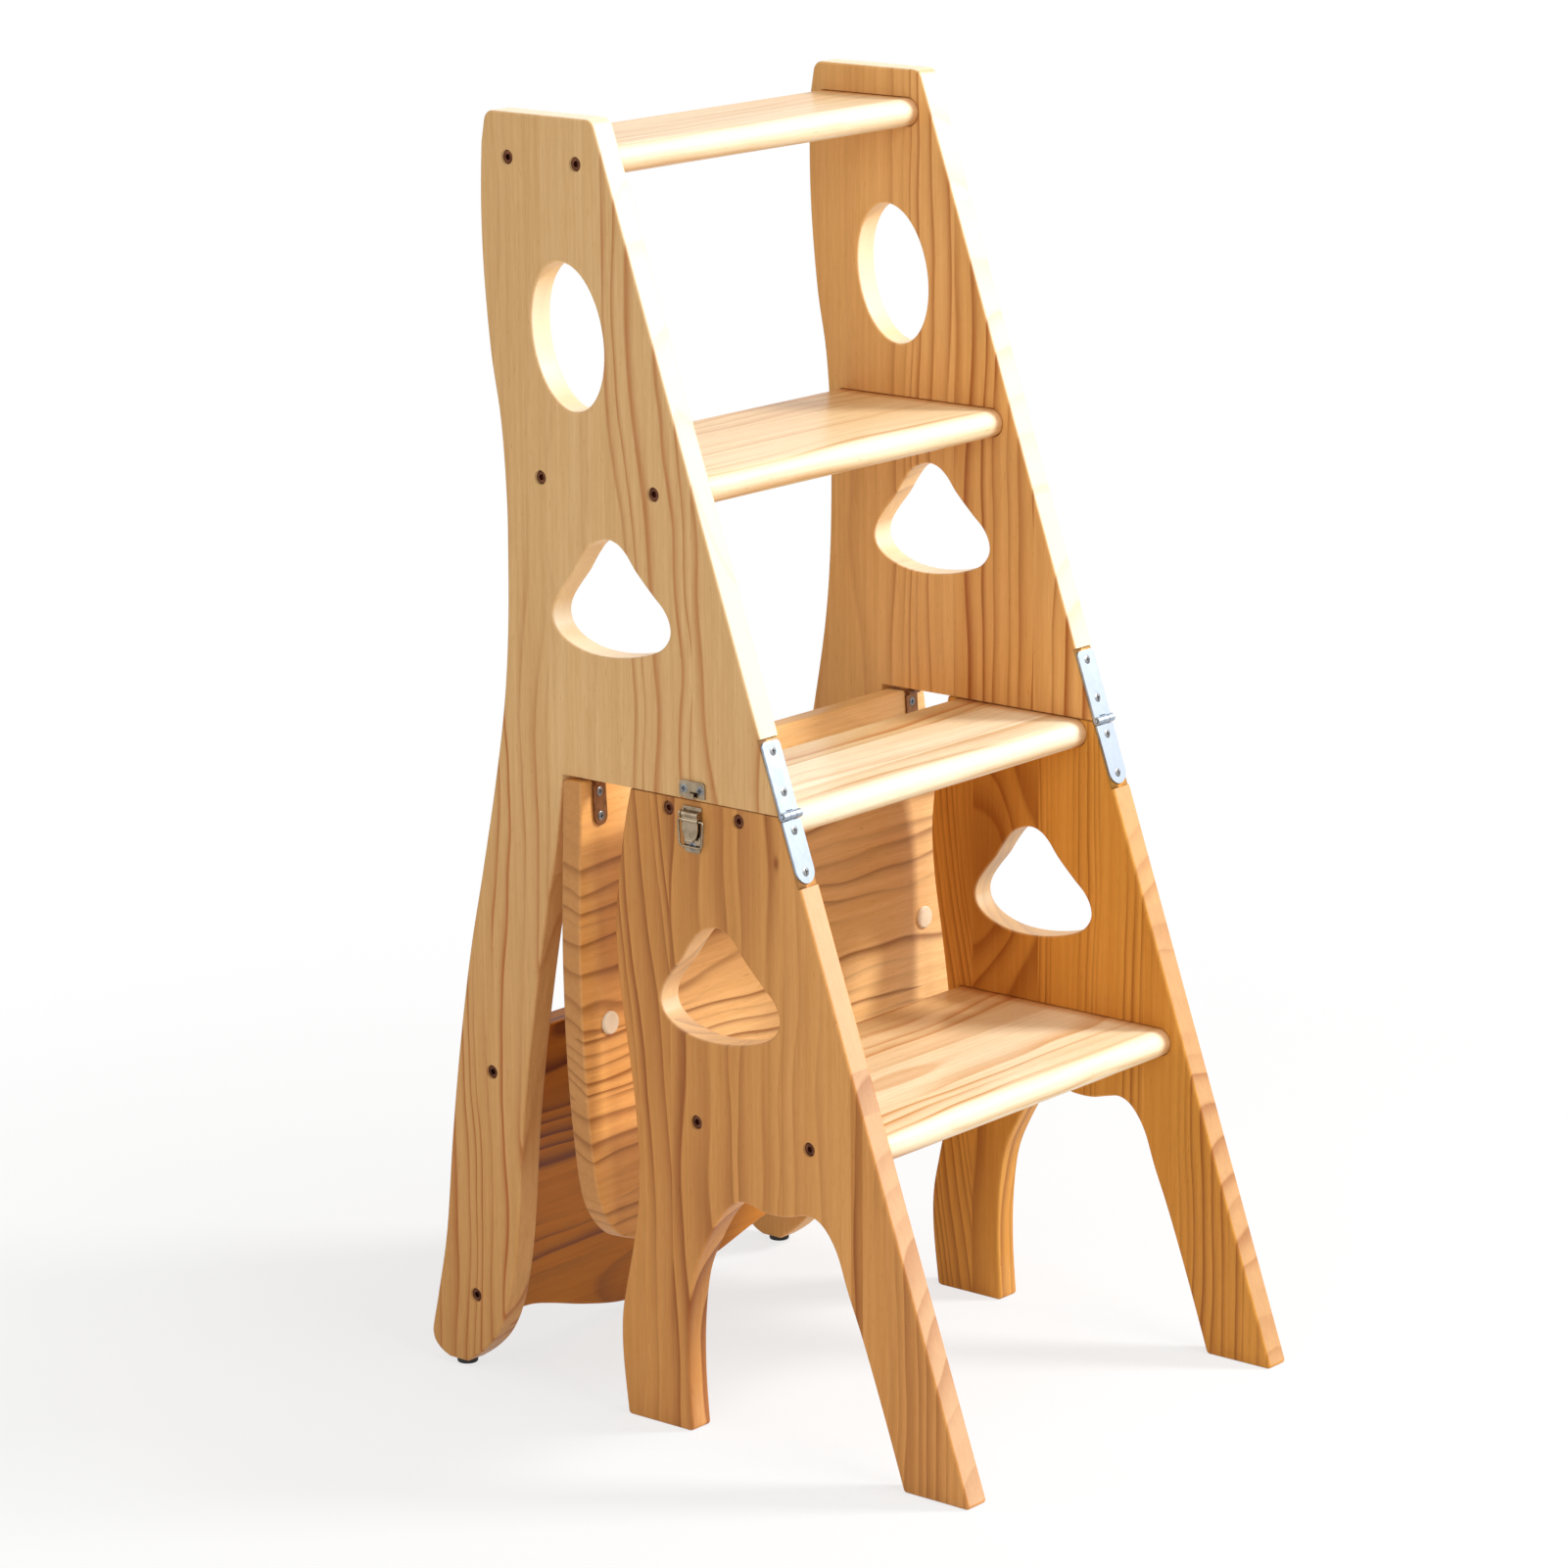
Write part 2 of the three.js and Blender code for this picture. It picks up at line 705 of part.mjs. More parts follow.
// Rubber glide places under the rear legs
const glideY = (upperRearEdge.at(-1).x + rearToeEdge[0].x) / 2;
const legBottomZ = rearToeEdge[0].y;
const glideTop = legBottomZ - woodGap;
const glideNail = (side, radius, top) => rod(
  new THREE.Vector3(side * boardCentre, glideY, glideTop / 2),
  new THREE.Vector3(side * boardCentre, glideY, top),
  radius,
  smallSides,
);

function sidePanel(side, outline, holes, extraCutters) {
  const outer = side * halfWidth;
  const inner = side * innerHalf;
  const blank = board(outline, Math.min(outer, inner), Math.max(outer, inner), boardEase, holes);
  const kerf = block(
    new THREE.Vector3(side * boardCentre - boardThickness, frontFootY, lowerTopZ),
    new THREE.Vector3(side * boardCentre + boardThickness, legFrontAtFold, undersideZ),
  );
  return cut(blank, [kerf, ...strapCutters(side), ...extraCutters]);
}

for (const [name, side] of sides) {
  add(`lower_side_${name}`, sidePanel(side, lowerOutline, lowerHoles, [
    ...housingCutters(side, [0, 1]),
    ...screwHoleCutters(side, screwRows.slice(0, 2).flat()),
    ...strapScrewCutters(side, strapLowerScrews, -1),
    ...latchScrewSolids(side, baseScrews, woodGap),
  ]), pineSide);
  add(`upper_side_${name}`, sidePanel(side, upperOutline, upperHoles, [
    ...housingCutters(side, [2, 3]),
    ...screwHoleCutters(side, [...screwRows.slice(2).flat(), ...backScrews]),
    ...strapScrewCutters(side, strapUpperScrews, 1),
    ...latchScrewSolids(side, keeperScrews, woodGap),
    seatFrameScrewCutter(side),
    glideNail(side, glideNailRadius + woodGap, glideTop + glideNailLength + woodGap),
  ]), pineSide);
}

// Treads with their ends in the housings
treads.forEach((tread, index) => {
  const end = innerHalf + housingDepth - woodGap;
  const plank = board(treadOutline(tread, 0), -end, end);
  add(`step_${index + 1}`, cut(plank, screwPilotCutters(screwRows[index])), pineTread);
});

// Back panel between the rear legs, with a crowned lower edge
const backEnd = innerHalf - woodGap;
function backPanel() {
  const up = backUpperScrew.clone().sub(backLowerScrew).normalize();
  const top = backUpperScrew.clone().addScaledVector(up, backScrewDropShare * backHeight);
  const crown = new THREE.SplineCurve(backCrownShares.map(([across, down]) => (
    new THREE.Vector2(across * backEnd, -backHeight - down * backDroop)
  ))).getPoints(stepsPerPoint * (backCrownShares.length - 1));
  const mirrored = crown.slice(0, -1).map(({ x, y }) => new THREE.Vector2(-x, y));
  const shape = new THREE.Shape([
    new THREE.Vector2(-backEnd, 0),
    ...mirrored,
    ...crown.slice().reverse(),
    new THREE.Vector2(backEnd, 0),
  ]);
  const geometry = new THREE.ExtrudeGeometry(shape, {
    depth: backThickness - 2 * boardEase,
    bevelEnabled: true,
    bevelThickness: boardEase,
    bevelSize: boardEase,
    bevelOffset: -boardEase,
    bevelSegments: 1,
  });
  geometry.translate(0, 0, boardEase - backThickness / 2);
  const matrix = new THREE.Matrix4().makeBasis(
    new THREE.Vector3(1, 0, 0),
    new THREE.Vector3(0, up.x, up.y),
    new THREE.Vector3(0, -up.y, up.x),
  ).setPosition(0, top.x, top.y);
  return cut(solidOf(geometry, matrix), screwPilotCutters(backScrews));
}
add('back_panel', backPanel(), pineFlap);

// Confirmat-style screws, head outwards with a hexagon socket
function screwSolid() {
  const tipLength = screwCoreRadius;
  const shankEnd = boardThickness - housingDepth - screwSink;
  const profile = [
    [0, 0],
    [screwHeadRadius, 0],
    [screwHeadRadius, screwHeadLength],
    [screwShankRadius, screwHeadLength],
    [screwShankRadius, shankEnd],
    [screwCoreRadius, shankEnd],
    [screwCoreRadius, screwLength - tipLength],
    [0, screwLength],
  ].map(([radius, along]) => new THREE.Vector2(radius, -along)).reverse();
  const body = solidOf(new THREE.LatheGeometry(profile, screwSides));
  const socket = new THREE.CylinderGeometry(
    hexSocketRadius, hexSocketRadius, 2 * hexSocketDepth, 6,
  );
  return geometryOf(body.subtract(solidOf(socket)));
}
const screwGeometry = screwSolid();
function addScrews(label, places) {
  for (const [name, side] of sides) {
    places.forEach(({ x: y, y: z }, index) => {
      const mesh = add(`${label}_screw_${name}_${index + 1}`, screwGeometry.clone(), bronzeScrew);
      mesh.position.set(side * (halfWidth - screwSink), y, z);
      mesh.rotation.z = -side * Math.PI / 2;
    });
  }
}
screwRows.forEach((places, index) => addScrews(`step_${index + 1}`, places));
addScrews('back_panel', backScrews);

// Glides
for (const [name, side] of sides) {
  const pad = rod(
    new THREE.Vector3(side * boardCentre, glideY, 0),
    new THREE.Vector3(side * boardCentre, glideY, glideTop),
    glideRadius,
    roundSides,
  );
  const nail = glideNail(side, glideNailRadius, glideTop + glideNailLength);
  add(`rear_glide_${name}`, join([pad, nail]), rubber);
}

// Strap hinges
for (const [name, side] of sides) {
  const hinge = new THREE.Group();
  hinge.applyMatrix4(strapFrame.clone().setPosition(side * boardCentre, foldAxis.y, foldAxis.z));
  group.add(hinge);
  add(`strap_leaf_upper_${name}`, strapUpperLeaf(), zincStrap, hinge);
  add(`strap_leaf_lower_${name}`, strapLowerLeaf(), zincStrap, hinge);
  const reach = strapWidth / 2 + strapMargin;
  add(`strap_pin_${name}`, crossRod(-reach, reach, 0, 0, strapPinRadius, smallSides), zincStrap, hinge);
}

// Seat flap, hanging from its hinges a little forward of plumb
const seatGroup = new THREE.Group();
seatGroup.position.copy(seatAxis);
seatGroup.rotation.x = -THREE.MathUtils.degToRad(seatHang);
group.add(seatGroup);

const seatTop = seatLeafLift - woodGap;
function seatFlap() {
  const halfOutline = new THREE.SplineCurve(seatSideShares.map(([down, across]) => (
    new THREE.Vector2(across * seatWidth / 2, seatTop - down * seatLength)
  ))).getPoints(stepsPerPoint * (seatSideShares.length - 1));
  const mirrored = halfOutline.map(({ x, y }) => new THREE.Vector2(-x, y)).reverse();
  const shape = new THREE.Shape([...halfOutline, ...mirrored]);
  const geometry = new THREE.ExtrudeGeometry(shape, {
    depth: seatThickness - 2 * boardEase,
    bevelEnabled: true,
    bevelThickness: boardEase,
    bevelSize: boardEase,
    bevelOffset: -boardEase,
    bevelSegments: 1,
  });
  geometry.translate(0, 0, boardEase - seatThickness);
  geometry.rotateX(Math.PI / 2);
  geometry.translate(0, seatFaceOffset, 0);
  const cutters = sides.flatMap(([, side]) => seatLeafScrews.map((z) => (
    solidOf(seatScrewCutter(-z).translate(side * seatHingeX, 0, 0))
  )));
  return cut(solidOf(geometry), cutters);
}
add('seat_flap', seatFlap(), pineFlap, seatGroup);

// Pads that come to rest on the strap hinges' barrels when the frames are folded
const foldedFaceZ = 2 * foldAxis.z - seatAxis.z + seatFaceOffset;
const padThickness = foldedFaceZ - foldAxis.z - strapBarrelRadius - 2 * woodGap;
const padDown = seatAxis.y - foldAxis.y;
for (const [name, side] of sides) {
  const place3 = (y) => new THREE.Vector3(side * boardCentre, y, -padDown);
  const near = seatFaceOffset - woodGap - padThickness;
  const pad = rod(place3(near), place3(seatFaceOffset - woodGap), padRadius, roundSides);
  add(`seat_pad_${name}`, pad, paleRubber, seatGroup);
  const leaf = add(`seat_leaf_${name}`, seatFlapLeaf(), bronzeLeaf, seatGroup);
  leaf.position.x = side * seatHingeX;
  const frameLeaf = add(`seat_frame_leaf_${name}`, seatFrameLeaf(), bronzeLeaf);
  frameLeaf.position.set(side * seatHingeX, seatAxis.y, seatAxis.z);
  const pin = add(
    `seat_pin_${name}`,
    crossRod(-seatHingeWidth / 2, seatHingeWidth / 2, 0, 0, seatPinRadius, smallSides),
    bronzeLeaf,
  );
  pin.position.copy(frameLeaf.position);
}

// Toggle latches: base, lever, wire bail and keeper on each outer face
function facePlate(side, outline, near, thickness) {
  const geometry = new THREE.ExtrudeGeometry(new THREE.Shape(outline), {
    depth: thickness, bevelEnabled: false,
  });
  const outwards = new THREE.Matrix4().makeBasis(
    new THREE.Vector3(0, side, 0),
    new THREE.Vector3(0, 0, 1),
    new THREE.Vector3(side, 0, 0),
  ).setPosition(side * (halfWidth + near), latchY, 0);
  return solidOf(geometry, outwards);
}

const faceRod = (side, out, half, up, radius, count) => rod(
  onFace(side, out, -half, up),
  onFace(side, out, half, up),
  radius,
  count,
);

function latchBase(side) {
  const half = latchPlateWidth / 2;
  const tail = latchTailWidth / 2;
  const top = foldHeight - latchPlateTopDrop;
  const low = top - latchPlateHeight;
  const lowLeft = corner(-tail, low);
  const lowRight = corner(tail, low);
  const outline = [
    corner(-half, low + latchTailHeight),
    corner(-tail, low + latchTailHeight),
    ...roundedCorner(corner(-tail, top), lowLeft, lowRight, latchTailRound),
    ...roundedCorner(lowLeft, lowRight, corner(tail, top), latchTailRound),
    corner(tail, low + latchTailHeight),
    corner(half, low + latchTailHeight),
    corner(half, top),
    corner(-half, top),
  ];
  const plate = facePlate(side, outline, woodGap, latchPlateThickness);
  const earInner = half - latchEarThickness;
  const ears = [-1, 1].flatMap((sign) => [
    block(
      onFace(side, woodGap, sign * earInner, latchPivotZ - latchEarRadius),
      onFace(side, latchPivotStandoff, sign * half, latchPivotZ + latchEarRadius),
    ),
    rod(
      onFace(side, latchPivotStandoff, sign * earInner, latchPivotZ),
      onFace(side, latchPivotStandoff, sign * half, latchPivotZ),
      latchEarRadius,
    ),
  ]);
  const bore = faceRod(
    side, latchPivotStandoff, half + overrun, latchPivotZ, latchPinRadius + pinGap, smallSides,
  );
  return join([cut(join([plate, ...ears]), [bore]), ...latchScrewSolids(side, baseScrews)]);
}

const leverHalf = latchPlateWidth / 2 - latchEarThickness - leverSideClear;
const bailEyeZ = latchPivotZ - bailEyeDrop;
const bailEyeStandoff = latchPivotStandoff - bailEyeSetback;
function latchLever(side) {
  const near = latchPivotStandoff - leverThickness / 2;
  const low = latchPivotZ - leverLength;
  const tongue = new THREE.EllipseCurve(
    0, low + leverTongueLength, leverHalf, leverTongueLength, Math.PI, 2 * Math.PI,
  ).getPoints(nosingSteps);
  const outline = [corner(-leverHalf, latchPivotZ), ...tongue, corner(leverHalf, latchPivotZ)];
  const curlUp = low + leverCurlRadius;
  const solid = join([
    facePlate(side, outline, near, leverThickness),
    faceRod(side, near + leverThickness, leverCurlWidth / 2, curlUp, leverCurlRadius, smallSides),
    faceRod(side, latchPivotStandoff, leverHalf, latchPivotZ, leverBarrelRadius),
    faceRod(side, bailEyeStandoff, leverHalf, bailEyeZ, bailEyeRadius),
  ]);
  return cut(solid, [
    faceRod(
      side, latchPivotStandoff, leverHalf + overrun, latchPivotZ, latchPinRadius + pinGap, smallSides,
    ),
    faceRod(side, bailEyeStandoff, leverHalf + overrun, bailEyeZ, bailWireRadius + pinGap, smallSides),
  ]);
}

function latchBail(side) {
  const top = latchPlateWidth / 2 + bailSideClear + bailWireRadius;
  const bottom = top - bailTaper;
  const low = bailEyeZ - bailLength;
  const corners = [
    [-top, bailEyeZ], [top, bailEyeZ], [bottom, low], [-bottom, low],
  ].map(([across, up]) => onFace(side, bailEyeStandoff, across, up));
  return join(corners.flatMap((point, index) => {
    const next = corners[(index + 1) % corners.length];
    const knob = new THREE.SphereGeometry(bailWireRadius, smallSides, smallSides / 2);
    return [
      rod(point, next, bailWireRadius, smallSides),
      solidOf(knob, new THREE.Matrix4().setPosition(point)),
    ];
  }));
}

function latchKeeper(side) {
  const low = foldHeight + keeperRise;
  const top = low + keeperHeight;
  const half = keeperWidth / 2;
  const hookHalf = keeperHookWidth / 2;
  const face = woodGap + latchPlateThickness;
  const topLeft = corner(-half, top);
  const topRight = corner(half, top);
  const outline = [
    corner(-half, low),
    corner(half, low),
    ...roundedCorner(corner(half, low), topRight, topLeft, keeperRound),
    ...roundedCorner(topRight, topLeft, corner(-half, low), keeperRound),
  ];
  return join([
    facePlate(side, outline, woodGap, latchPlateThickness),
    block(
      onFace(side, woodGap, -hookHalf, low),
      onFace(side, face + keeperHookReach, hookHalf, low + latchPlateThickness),
    ),
    block(
      onFace(side, face + keeperHookReach - latchPlateThickness, -hookHalf, low),
      onFace(side, face + keeperHookReach, hookHalf, low + keeperHookLift + latchPlateThickness),
    ),
    ...latchScrewSolids(side, keeperScrews),
  ]);
}

for (const [name, side] of sides) {
  add(`latch_base_${name}`, latchBase(side), nickel);
  add(`latch_lever_${name}`, latchLever(side), nickel);
  add(`latch_bail_${name}`, latchBail(side), nickel);
  add(`latch_keeper_${name}`, latchKeeper(side), nickel);
  const reach = latchPlateWidth / 2 + pinGap;
  const pin = faceRod(side, latchPivotStandoff, reach, latchPivotZ, latchPinRadius, smallSides);
  add(`latch_pin_${name}`, pin, nickel);
}

export default group;
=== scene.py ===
# %% [markdown]
# # A folding step stool chair in pine
# The real object is a library chair: four treads between two pairs of shaped side panels. The upper frame
# swings over on two strap hinges, and the step ladder becomes a chair. We could model it free-hand, but the
# workshop's CAD frame already says where each board and hinge lies, so we load that first.

# %% Load the frame
import json
import math

import bmesh
import bpy
from mathutils import Matrix, Vector
from mathutils.geometry import interpolate_bezier

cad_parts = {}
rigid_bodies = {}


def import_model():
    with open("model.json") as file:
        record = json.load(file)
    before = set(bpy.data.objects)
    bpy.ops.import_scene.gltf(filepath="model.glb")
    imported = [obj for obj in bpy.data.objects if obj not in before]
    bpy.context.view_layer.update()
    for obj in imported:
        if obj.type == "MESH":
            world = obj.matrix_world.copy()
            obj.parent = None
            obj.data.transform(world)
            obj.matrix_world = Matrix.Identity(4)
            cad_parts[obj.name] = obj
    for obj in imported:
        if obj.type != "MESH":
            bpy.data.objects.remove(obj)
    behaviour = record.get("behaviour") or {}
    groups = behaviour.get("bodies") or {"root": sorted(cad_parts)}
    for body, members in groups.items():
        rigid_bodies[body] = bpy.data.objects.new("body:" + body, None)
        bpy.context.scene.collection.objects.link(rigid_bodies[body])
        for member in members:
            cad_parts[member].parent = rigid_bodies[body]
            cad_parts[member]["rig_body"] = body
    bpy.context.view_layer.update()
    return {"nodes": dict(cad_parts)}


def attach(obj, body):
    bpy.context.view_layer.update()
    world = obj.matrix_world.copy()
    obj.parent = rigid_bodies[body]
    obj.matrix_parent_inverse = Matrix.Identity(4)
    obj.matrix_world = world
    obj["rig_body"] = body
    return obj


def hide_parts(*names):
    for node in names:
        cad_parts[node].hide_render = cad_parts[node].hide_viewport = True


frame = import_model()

# %% [markdown]
# ## The camera
# A product photograph is taken with a long lens from a few metres away, so that upright lines stay nearly
# parallel. We could turn the camera by eye, but its angles were measured on the frame's corners, so we write
# them down: an azimuth, a height angle and a small roll, and a camera matrix built from its own three axes.

# %% Camera
AZIMUTH, ELEVATION, ROLL = (math.radians(a) for a in (-50.447498, 13.946572, -0.366938))
EYE = Vector((-2.95757, -2.37697, 1.36656))
back = Vector((math.sin(AZIMUTH) * math.cos(ELEVATION), -math.cos(AZIMUTH) * math.cos(ELEVATION),
               math.sin(ELEVATION)))
right = (-back).cross(Vector((0, 0, 1))).normalized()
over = right.cross(-back)
across = math.cos(ROLL) * right + math.sin(ROLL) * over
upward = -math.sin(ROLL) * right + math.cos(ROLL) * over


def add_object(name, data):
    thing = bpy.data.objects.new(name, data)
    bpy.context.scene.collection.objects.link(thing)
    return thing


lens = bpy.data.cameras.new("camera")
lens.lens, lens.sensor_width, lens.clip_start = 128.89, 36, 0.1
camera = add_object("camera", lens)
camera.matrix_world = Matrix.Translation(EYE) @ Matrix((across, upward, back)).transposed().to_4x4()
bpy.context.scene.camera = camera
print("camera at", [round(v, 3) for v in EYE])

# %% [markdown]
# ## Sizes
# A joiner keeps a list of sizes beside the bench. Ours is in millimetres, as on the drawing, and every value
# is turned into metres once, because one Blender unit is a metre.

# %% Sizes
MM = 0.001
HEIGHT, DEPTH, WIDTH, RUN, BOARD = (v * MM for v in (900, 485.5, 370, 317, 20))
TREAD, TREAD_BACK, NOSE_SETBACK, TOP_DROP, HOUSING = (v * MM for v in (20, 10, 11.5, 20, 6))
KERF, GAP, PAST = (v * MM for v in (1, 0.3, 5))
SLOPE = RUN / HEIGHT
FOLD = HEIGHT / 2
HALF, INNER = WIDTH / 2, WIDTH / 2 - BOARD
MIDDLE = HALF - BOARD / 2
LOW_TOP, UNDERSIDE = FOLD - KERF / 2, FOLD + KERF / 2
SIDES = (("left", -1), ("right", 1))
print("slope angle:", round(math.degrees(math.atan(SLOPE)), 2))

# %% [markdown]
# ## Drawing the curved edges
# The rear legs, the arch and the hand holes are free curves that were cut on a band saw along a template. A
# template is drawn through a few points, so we keep those points as shares of the depth and the height, and
# let a smooth spline run through them. A Catmull-Rom curve does that; each of its spans is the same as a
# Bezier span whose handles come from the neighbouring points, and Blender can divide that for us.

# %% Curves through points
def template(shares, steps=6, closed=False, width=DEPTH, height=HEIGHT, at=(-DEPTH / 2, 0)):
    points = [Vector((at[0] + a * width, at[1] + b * height)) for a, b in shares]
    count = len(points)
    line = []

    def pick(i):
        return points[i % count if closed else max(0, min(count - 1, i))]

    for i in range(count if closed else count - 1):
        a, b = pick(i), pick(i + 1)
        line += interpolate_bezier(a, a + (b - pick(i - 1)) / 6, b - (pick(i + 2) - a) / 6, b, steps + 1)[:-1]
    return line if closed else line + [points[-1]]


def front_at(z):
    return -DEPTH / 2 + SLOPE * z


def edge_at(line, z):
    for a, b in zip(line, line[1:]):
        if (a.y - z) * (b.y - z) <= 0 and a.y != b.y:
            return a.x + (b.x - a.x) * (z - a.y) / (b.y - a.y)


REAR_LINE = template([
    (0.858, 0.975), (0.861, 0.93), (0.858, 0.878), (0.847, 0.817), (0.831, 0.767), (0.823, 0.711),
    (0.822, 0.667), (0.825, 0.603), (0.835, 0.544), (0.856, 0.478), (0.883, 0.408), (0.909, 0.344),
    (0.933, 0.267), (0.952, 0.189), (0.967, 0.111), (0.986, 0.058), (0.998, 0.029), (0.999, 0.021),
    (0.994, 0.014), (0.981, 0.008), (0.966, 0.0045)])
TOE_LINE = template([
    (0.931, 0.0045), (0.901, 0.016), (0.873, 0.032), (0.852, 0.054), (0.838, 0.082), (0.828, 0.114),
    (0.82, 0.156), (0.813, 0.202), (0.803, 0.247), (0.791, 0.291), (0.776, 0.339), (0.757, 0.394),
    (0.738, 0.444), (0.724, 0.5)])
LOW_REAR_LINE = template([
    (0.599, 0.5), (0.611, 0.472), (0.623, 0.43), (0.63, 0.389), (0.625, 0.348), (0.611, 0.3), (0.598, 0.25),
    (0.593, 0.209), (0.595, 0.174), (0.604, 0.141), (0.617, 0.109), (0.627, 0.08), (0.627, 0.047),
    (0.617, 0)])
ARCH_LINE = template([
    (0.496, 0), (0.502, 0.044), (0.501, 0.087), (0.491, 0.126), (0.467, 0.156), (0.438, 0.181),
    (0.412, 0.193), (0.391, 0.1945), (0.362, 0.191), (0.329, 0.191), (0.302, 0.1945), (0.278, 0.1965),
    (0.255, 0.19), (0.233, 0.173), (0.214, 0.145), (0.188, 0.111), (0.152, 0.058), (0.115, 0)])
DROP = [
    (0.04, 1), (-0.05, 0.98), (-0.13, 0.903), (-0.215, 0.766), (-0.352, 0.592), (-0.438, 0.492),
    (-0.487, 0.392), (-0.5, 0.293), (-0.472, 0.205), (-0.41, 0.131), (-0.304, 0.075), (-0.15, 0.028),
    (0.024, 0.004), (0.197, 0.014), (0.351, 0.068), (0.457, 0.156), (0.5, 0.268), (0.481, 0.392),
    (0.409, 0.529), (0.322, 0.666), (0.245, 0.816), (0.16, 0.94)]
LEG_FRONT = TOE_LINE[-1].x
print("rear edge points:", len(REAR_LINE), "toe points:", len(TOE_LINE))

# %% [markdown]
# ## Rounded corners
# Where two straight edges meet, the maker runs a router or sandpaper over the corner. An arc that touches
# both edges gives that corner. Its radius is chosen for each place: large at the top of the frame, small at
# the feet.

# %% Arcs and rounded corners in an outline
def arc(middle, radius, start, sweep, steps):
    turns = [start + sweep * i / steps for i in range(steps + 1)]
    return [Vector((middle[0] + radius * math.cos(a), middle[1] + radius * math.sin(a))) for a in turns]


def soft_corner(before, corner, after, radius, steps=6):
    first, second = (before - corner).normalized(), (after - corner).normalized()
    half = first.angle(second) / 2
    centre = corner + (first + second).normalized() * radius / math.sin(half)
    start, end = (corner + way * radius / math.tan(half) - centre for way in (first, second))
    sweep = math.atan2(start.x * end.y - start.y * end.x, start.dot(end))
    return arc(centre, radius, math.atan2(start.y, start.x), sweep, steps)


def rounded(points, radii):
    points, line = [Vector(p) for p in points], []
    for i, (p, radius) in enumerate(zip(points, radii)):
        line += soft_corner(points[i - 1], p, points[(i + 1) % len(points)], radius) if radius else [p]
    return line


print("a round corner:", len(rounded([(0, 0), (1, 0), (0, 1)], (0.1, 0, 0))) - 2, "points")

# %% [markdown]
# ## The section of a tread
# Four treads divide the height evenly. Each reaches from just behind the slope, where its full round nose
# lies, to just short of the rear edge of the panels. The same section, grown by a small gap, makes the
# housings.

# %% Tread sections
def tread_ring(index, grow=0.0):
    top = LOW_TOP + (index - 1) * (FOLD - TOP_DROP) / 2
    middle = top - TREAD / 2
    rear = edge_at(LOW_REAR_LINE if index < 2 else REAR_LINE, middle) - TREAD_BACK
    front = front_at(middle) + NOSE_SETBACK
    radius = TREAD / 2 + grow
    nose = arc((front + TREAD / 2, middle), radius, math.pi / 2, math.pi, 20)
    low, high = Vector((rear + grow, middle - radius)), Vector((rear + grow, middle + radius))
    ring = nose + soft_corner(nose[-1], low, high, 3 * MM) + soft_corner(low, high, nose[0], 3 * MM)
    return ring, Vector((front, middle)), rear, top


TREADS = [tread_ring(i) for i in range(4)]
print("tread tops:", [round(t[3], 4) for t in TREADS])

# %% [markdown]
# ## Sawing a board
# Every wooden piece starts as a flat board with an outline, perhaps with holes, and softly rounded edges. A
# cube with a subdivision surface would lose the template's curves. So we draw the outline as a ring of edges,
# fill it, extrude it to the board's thickness and bevel only the rims, as a router with a rounding bit would.

# %% A board from its outline
RIM_ANGLE = 1.2


def push_out(bm, faces, way):
    made = bmesh.ops.extrude_face_region(bm, geom=faces)
    bmesh.ops.translate(bm, vec=way, verts=[v for v in made["geom"] if isinstance(v, bmesh.types.BMVert)])
    bmesh.ops.recalc_face_normals(bm, faces=bm.faces[:])


def rims_of(bm):
    return [e for e in bm.edges if len(e.link_faces) == 2 and e.calc_face_angle() > RIM_ANGLE]


def set_down(bm, place):
    bmesh.ops.transform(bm, matrix=place, verts=bm.verts[:])
    bmesh.ops.recalc_face_normals(bm, faces=bm.faces[:])
    return bm


def slab(rings, thickness, ease, place, segments=4):
    bm = bmesh.new()
    for ring in rings:
        corners = [bm.verts.new((p.x, p.y, 0)) for p in ring]
        for a, b in zip(corners, corners[1:] + corners[:1]):
            bm.edges.new((a, b))
    if len(rings) == 1:
        bm.faces.new(corners)
    else:
        bmesh.ops.triangle_fill(bm, edges=bm.edges[:], use_dissolve=True, normal=(0, 0, 1))
    push_out(bm, bm.faces[:], (0, 0, thickness))
    rims = [e for e in rims_of(bm) if abs(e.verts[0].co.z - e.verts[1].co.z) < 1e-6]
    bmesh.ops.bevel(bm, geom=rims, offset=ease, offset_type="OFFSET", segments=segments, profile=0.5,
                    affect="EDGES", material=-1, clamp_overlap=False)
    return set_down(bm, place)


def board(name, rings, thickness, ease, place, lit_or_end_ways=(), reach=0.0, segments=4):
    """Marks each face for the finish. Faces that look the way of one of the given ways, from the cosine reach
    on, get a mark of how far they do. On the side panels and treads those ways point towards the lamps, and
    the mark carries a painted highlight; on the flap they are its ends, and the mark carries its end grain.
    The walls of the holes are marked "bored"."""
    to_ring, outward = place.inverted(), place.col[2].xyz
    piece = piece_from(name, slab(rings, thickness, ease, place, segments))
    sawn = piece.data.attributes.new("sawn", "FLOAT", "FACE")
    nearest = [max([face.normal.dot(way) for way in lit_or_end_ways], default=0) for face in piece.data.polygons]
    sawn.data.foreach_set("value", [max(0, (near - reach) / (1 - reach)) for near in nearest])
    bored = piece.data.attributes.new("bored", "FLOAT", "FACE")
    if len(rings) > 1:
        points = [(point, ring is not rings[0]) for ring in rings for point in ring]
        for face, wall in zip(piece.data.polygons, bored.data):
            steep, at = 1 - abs(face.normal.dot(outward)), (to_ring @ face.center).xy
            if steep > 0.1 and min(((at - point).length_squared, in_hole) for point, in_hole in points)[1]:
                wall.value = steep
    return piece


def piece_from(name, bm, smooth=35):
    mesh = bpy.data.meshes.new(name)
    bm.to_mesh(mesh)
    bm.free()
    mesh.shade_smooth()
    mesh.set_sharp_from_angle(angle=math.radians(smooth))
    return add_object(name, mesh)


print("board helper ready")

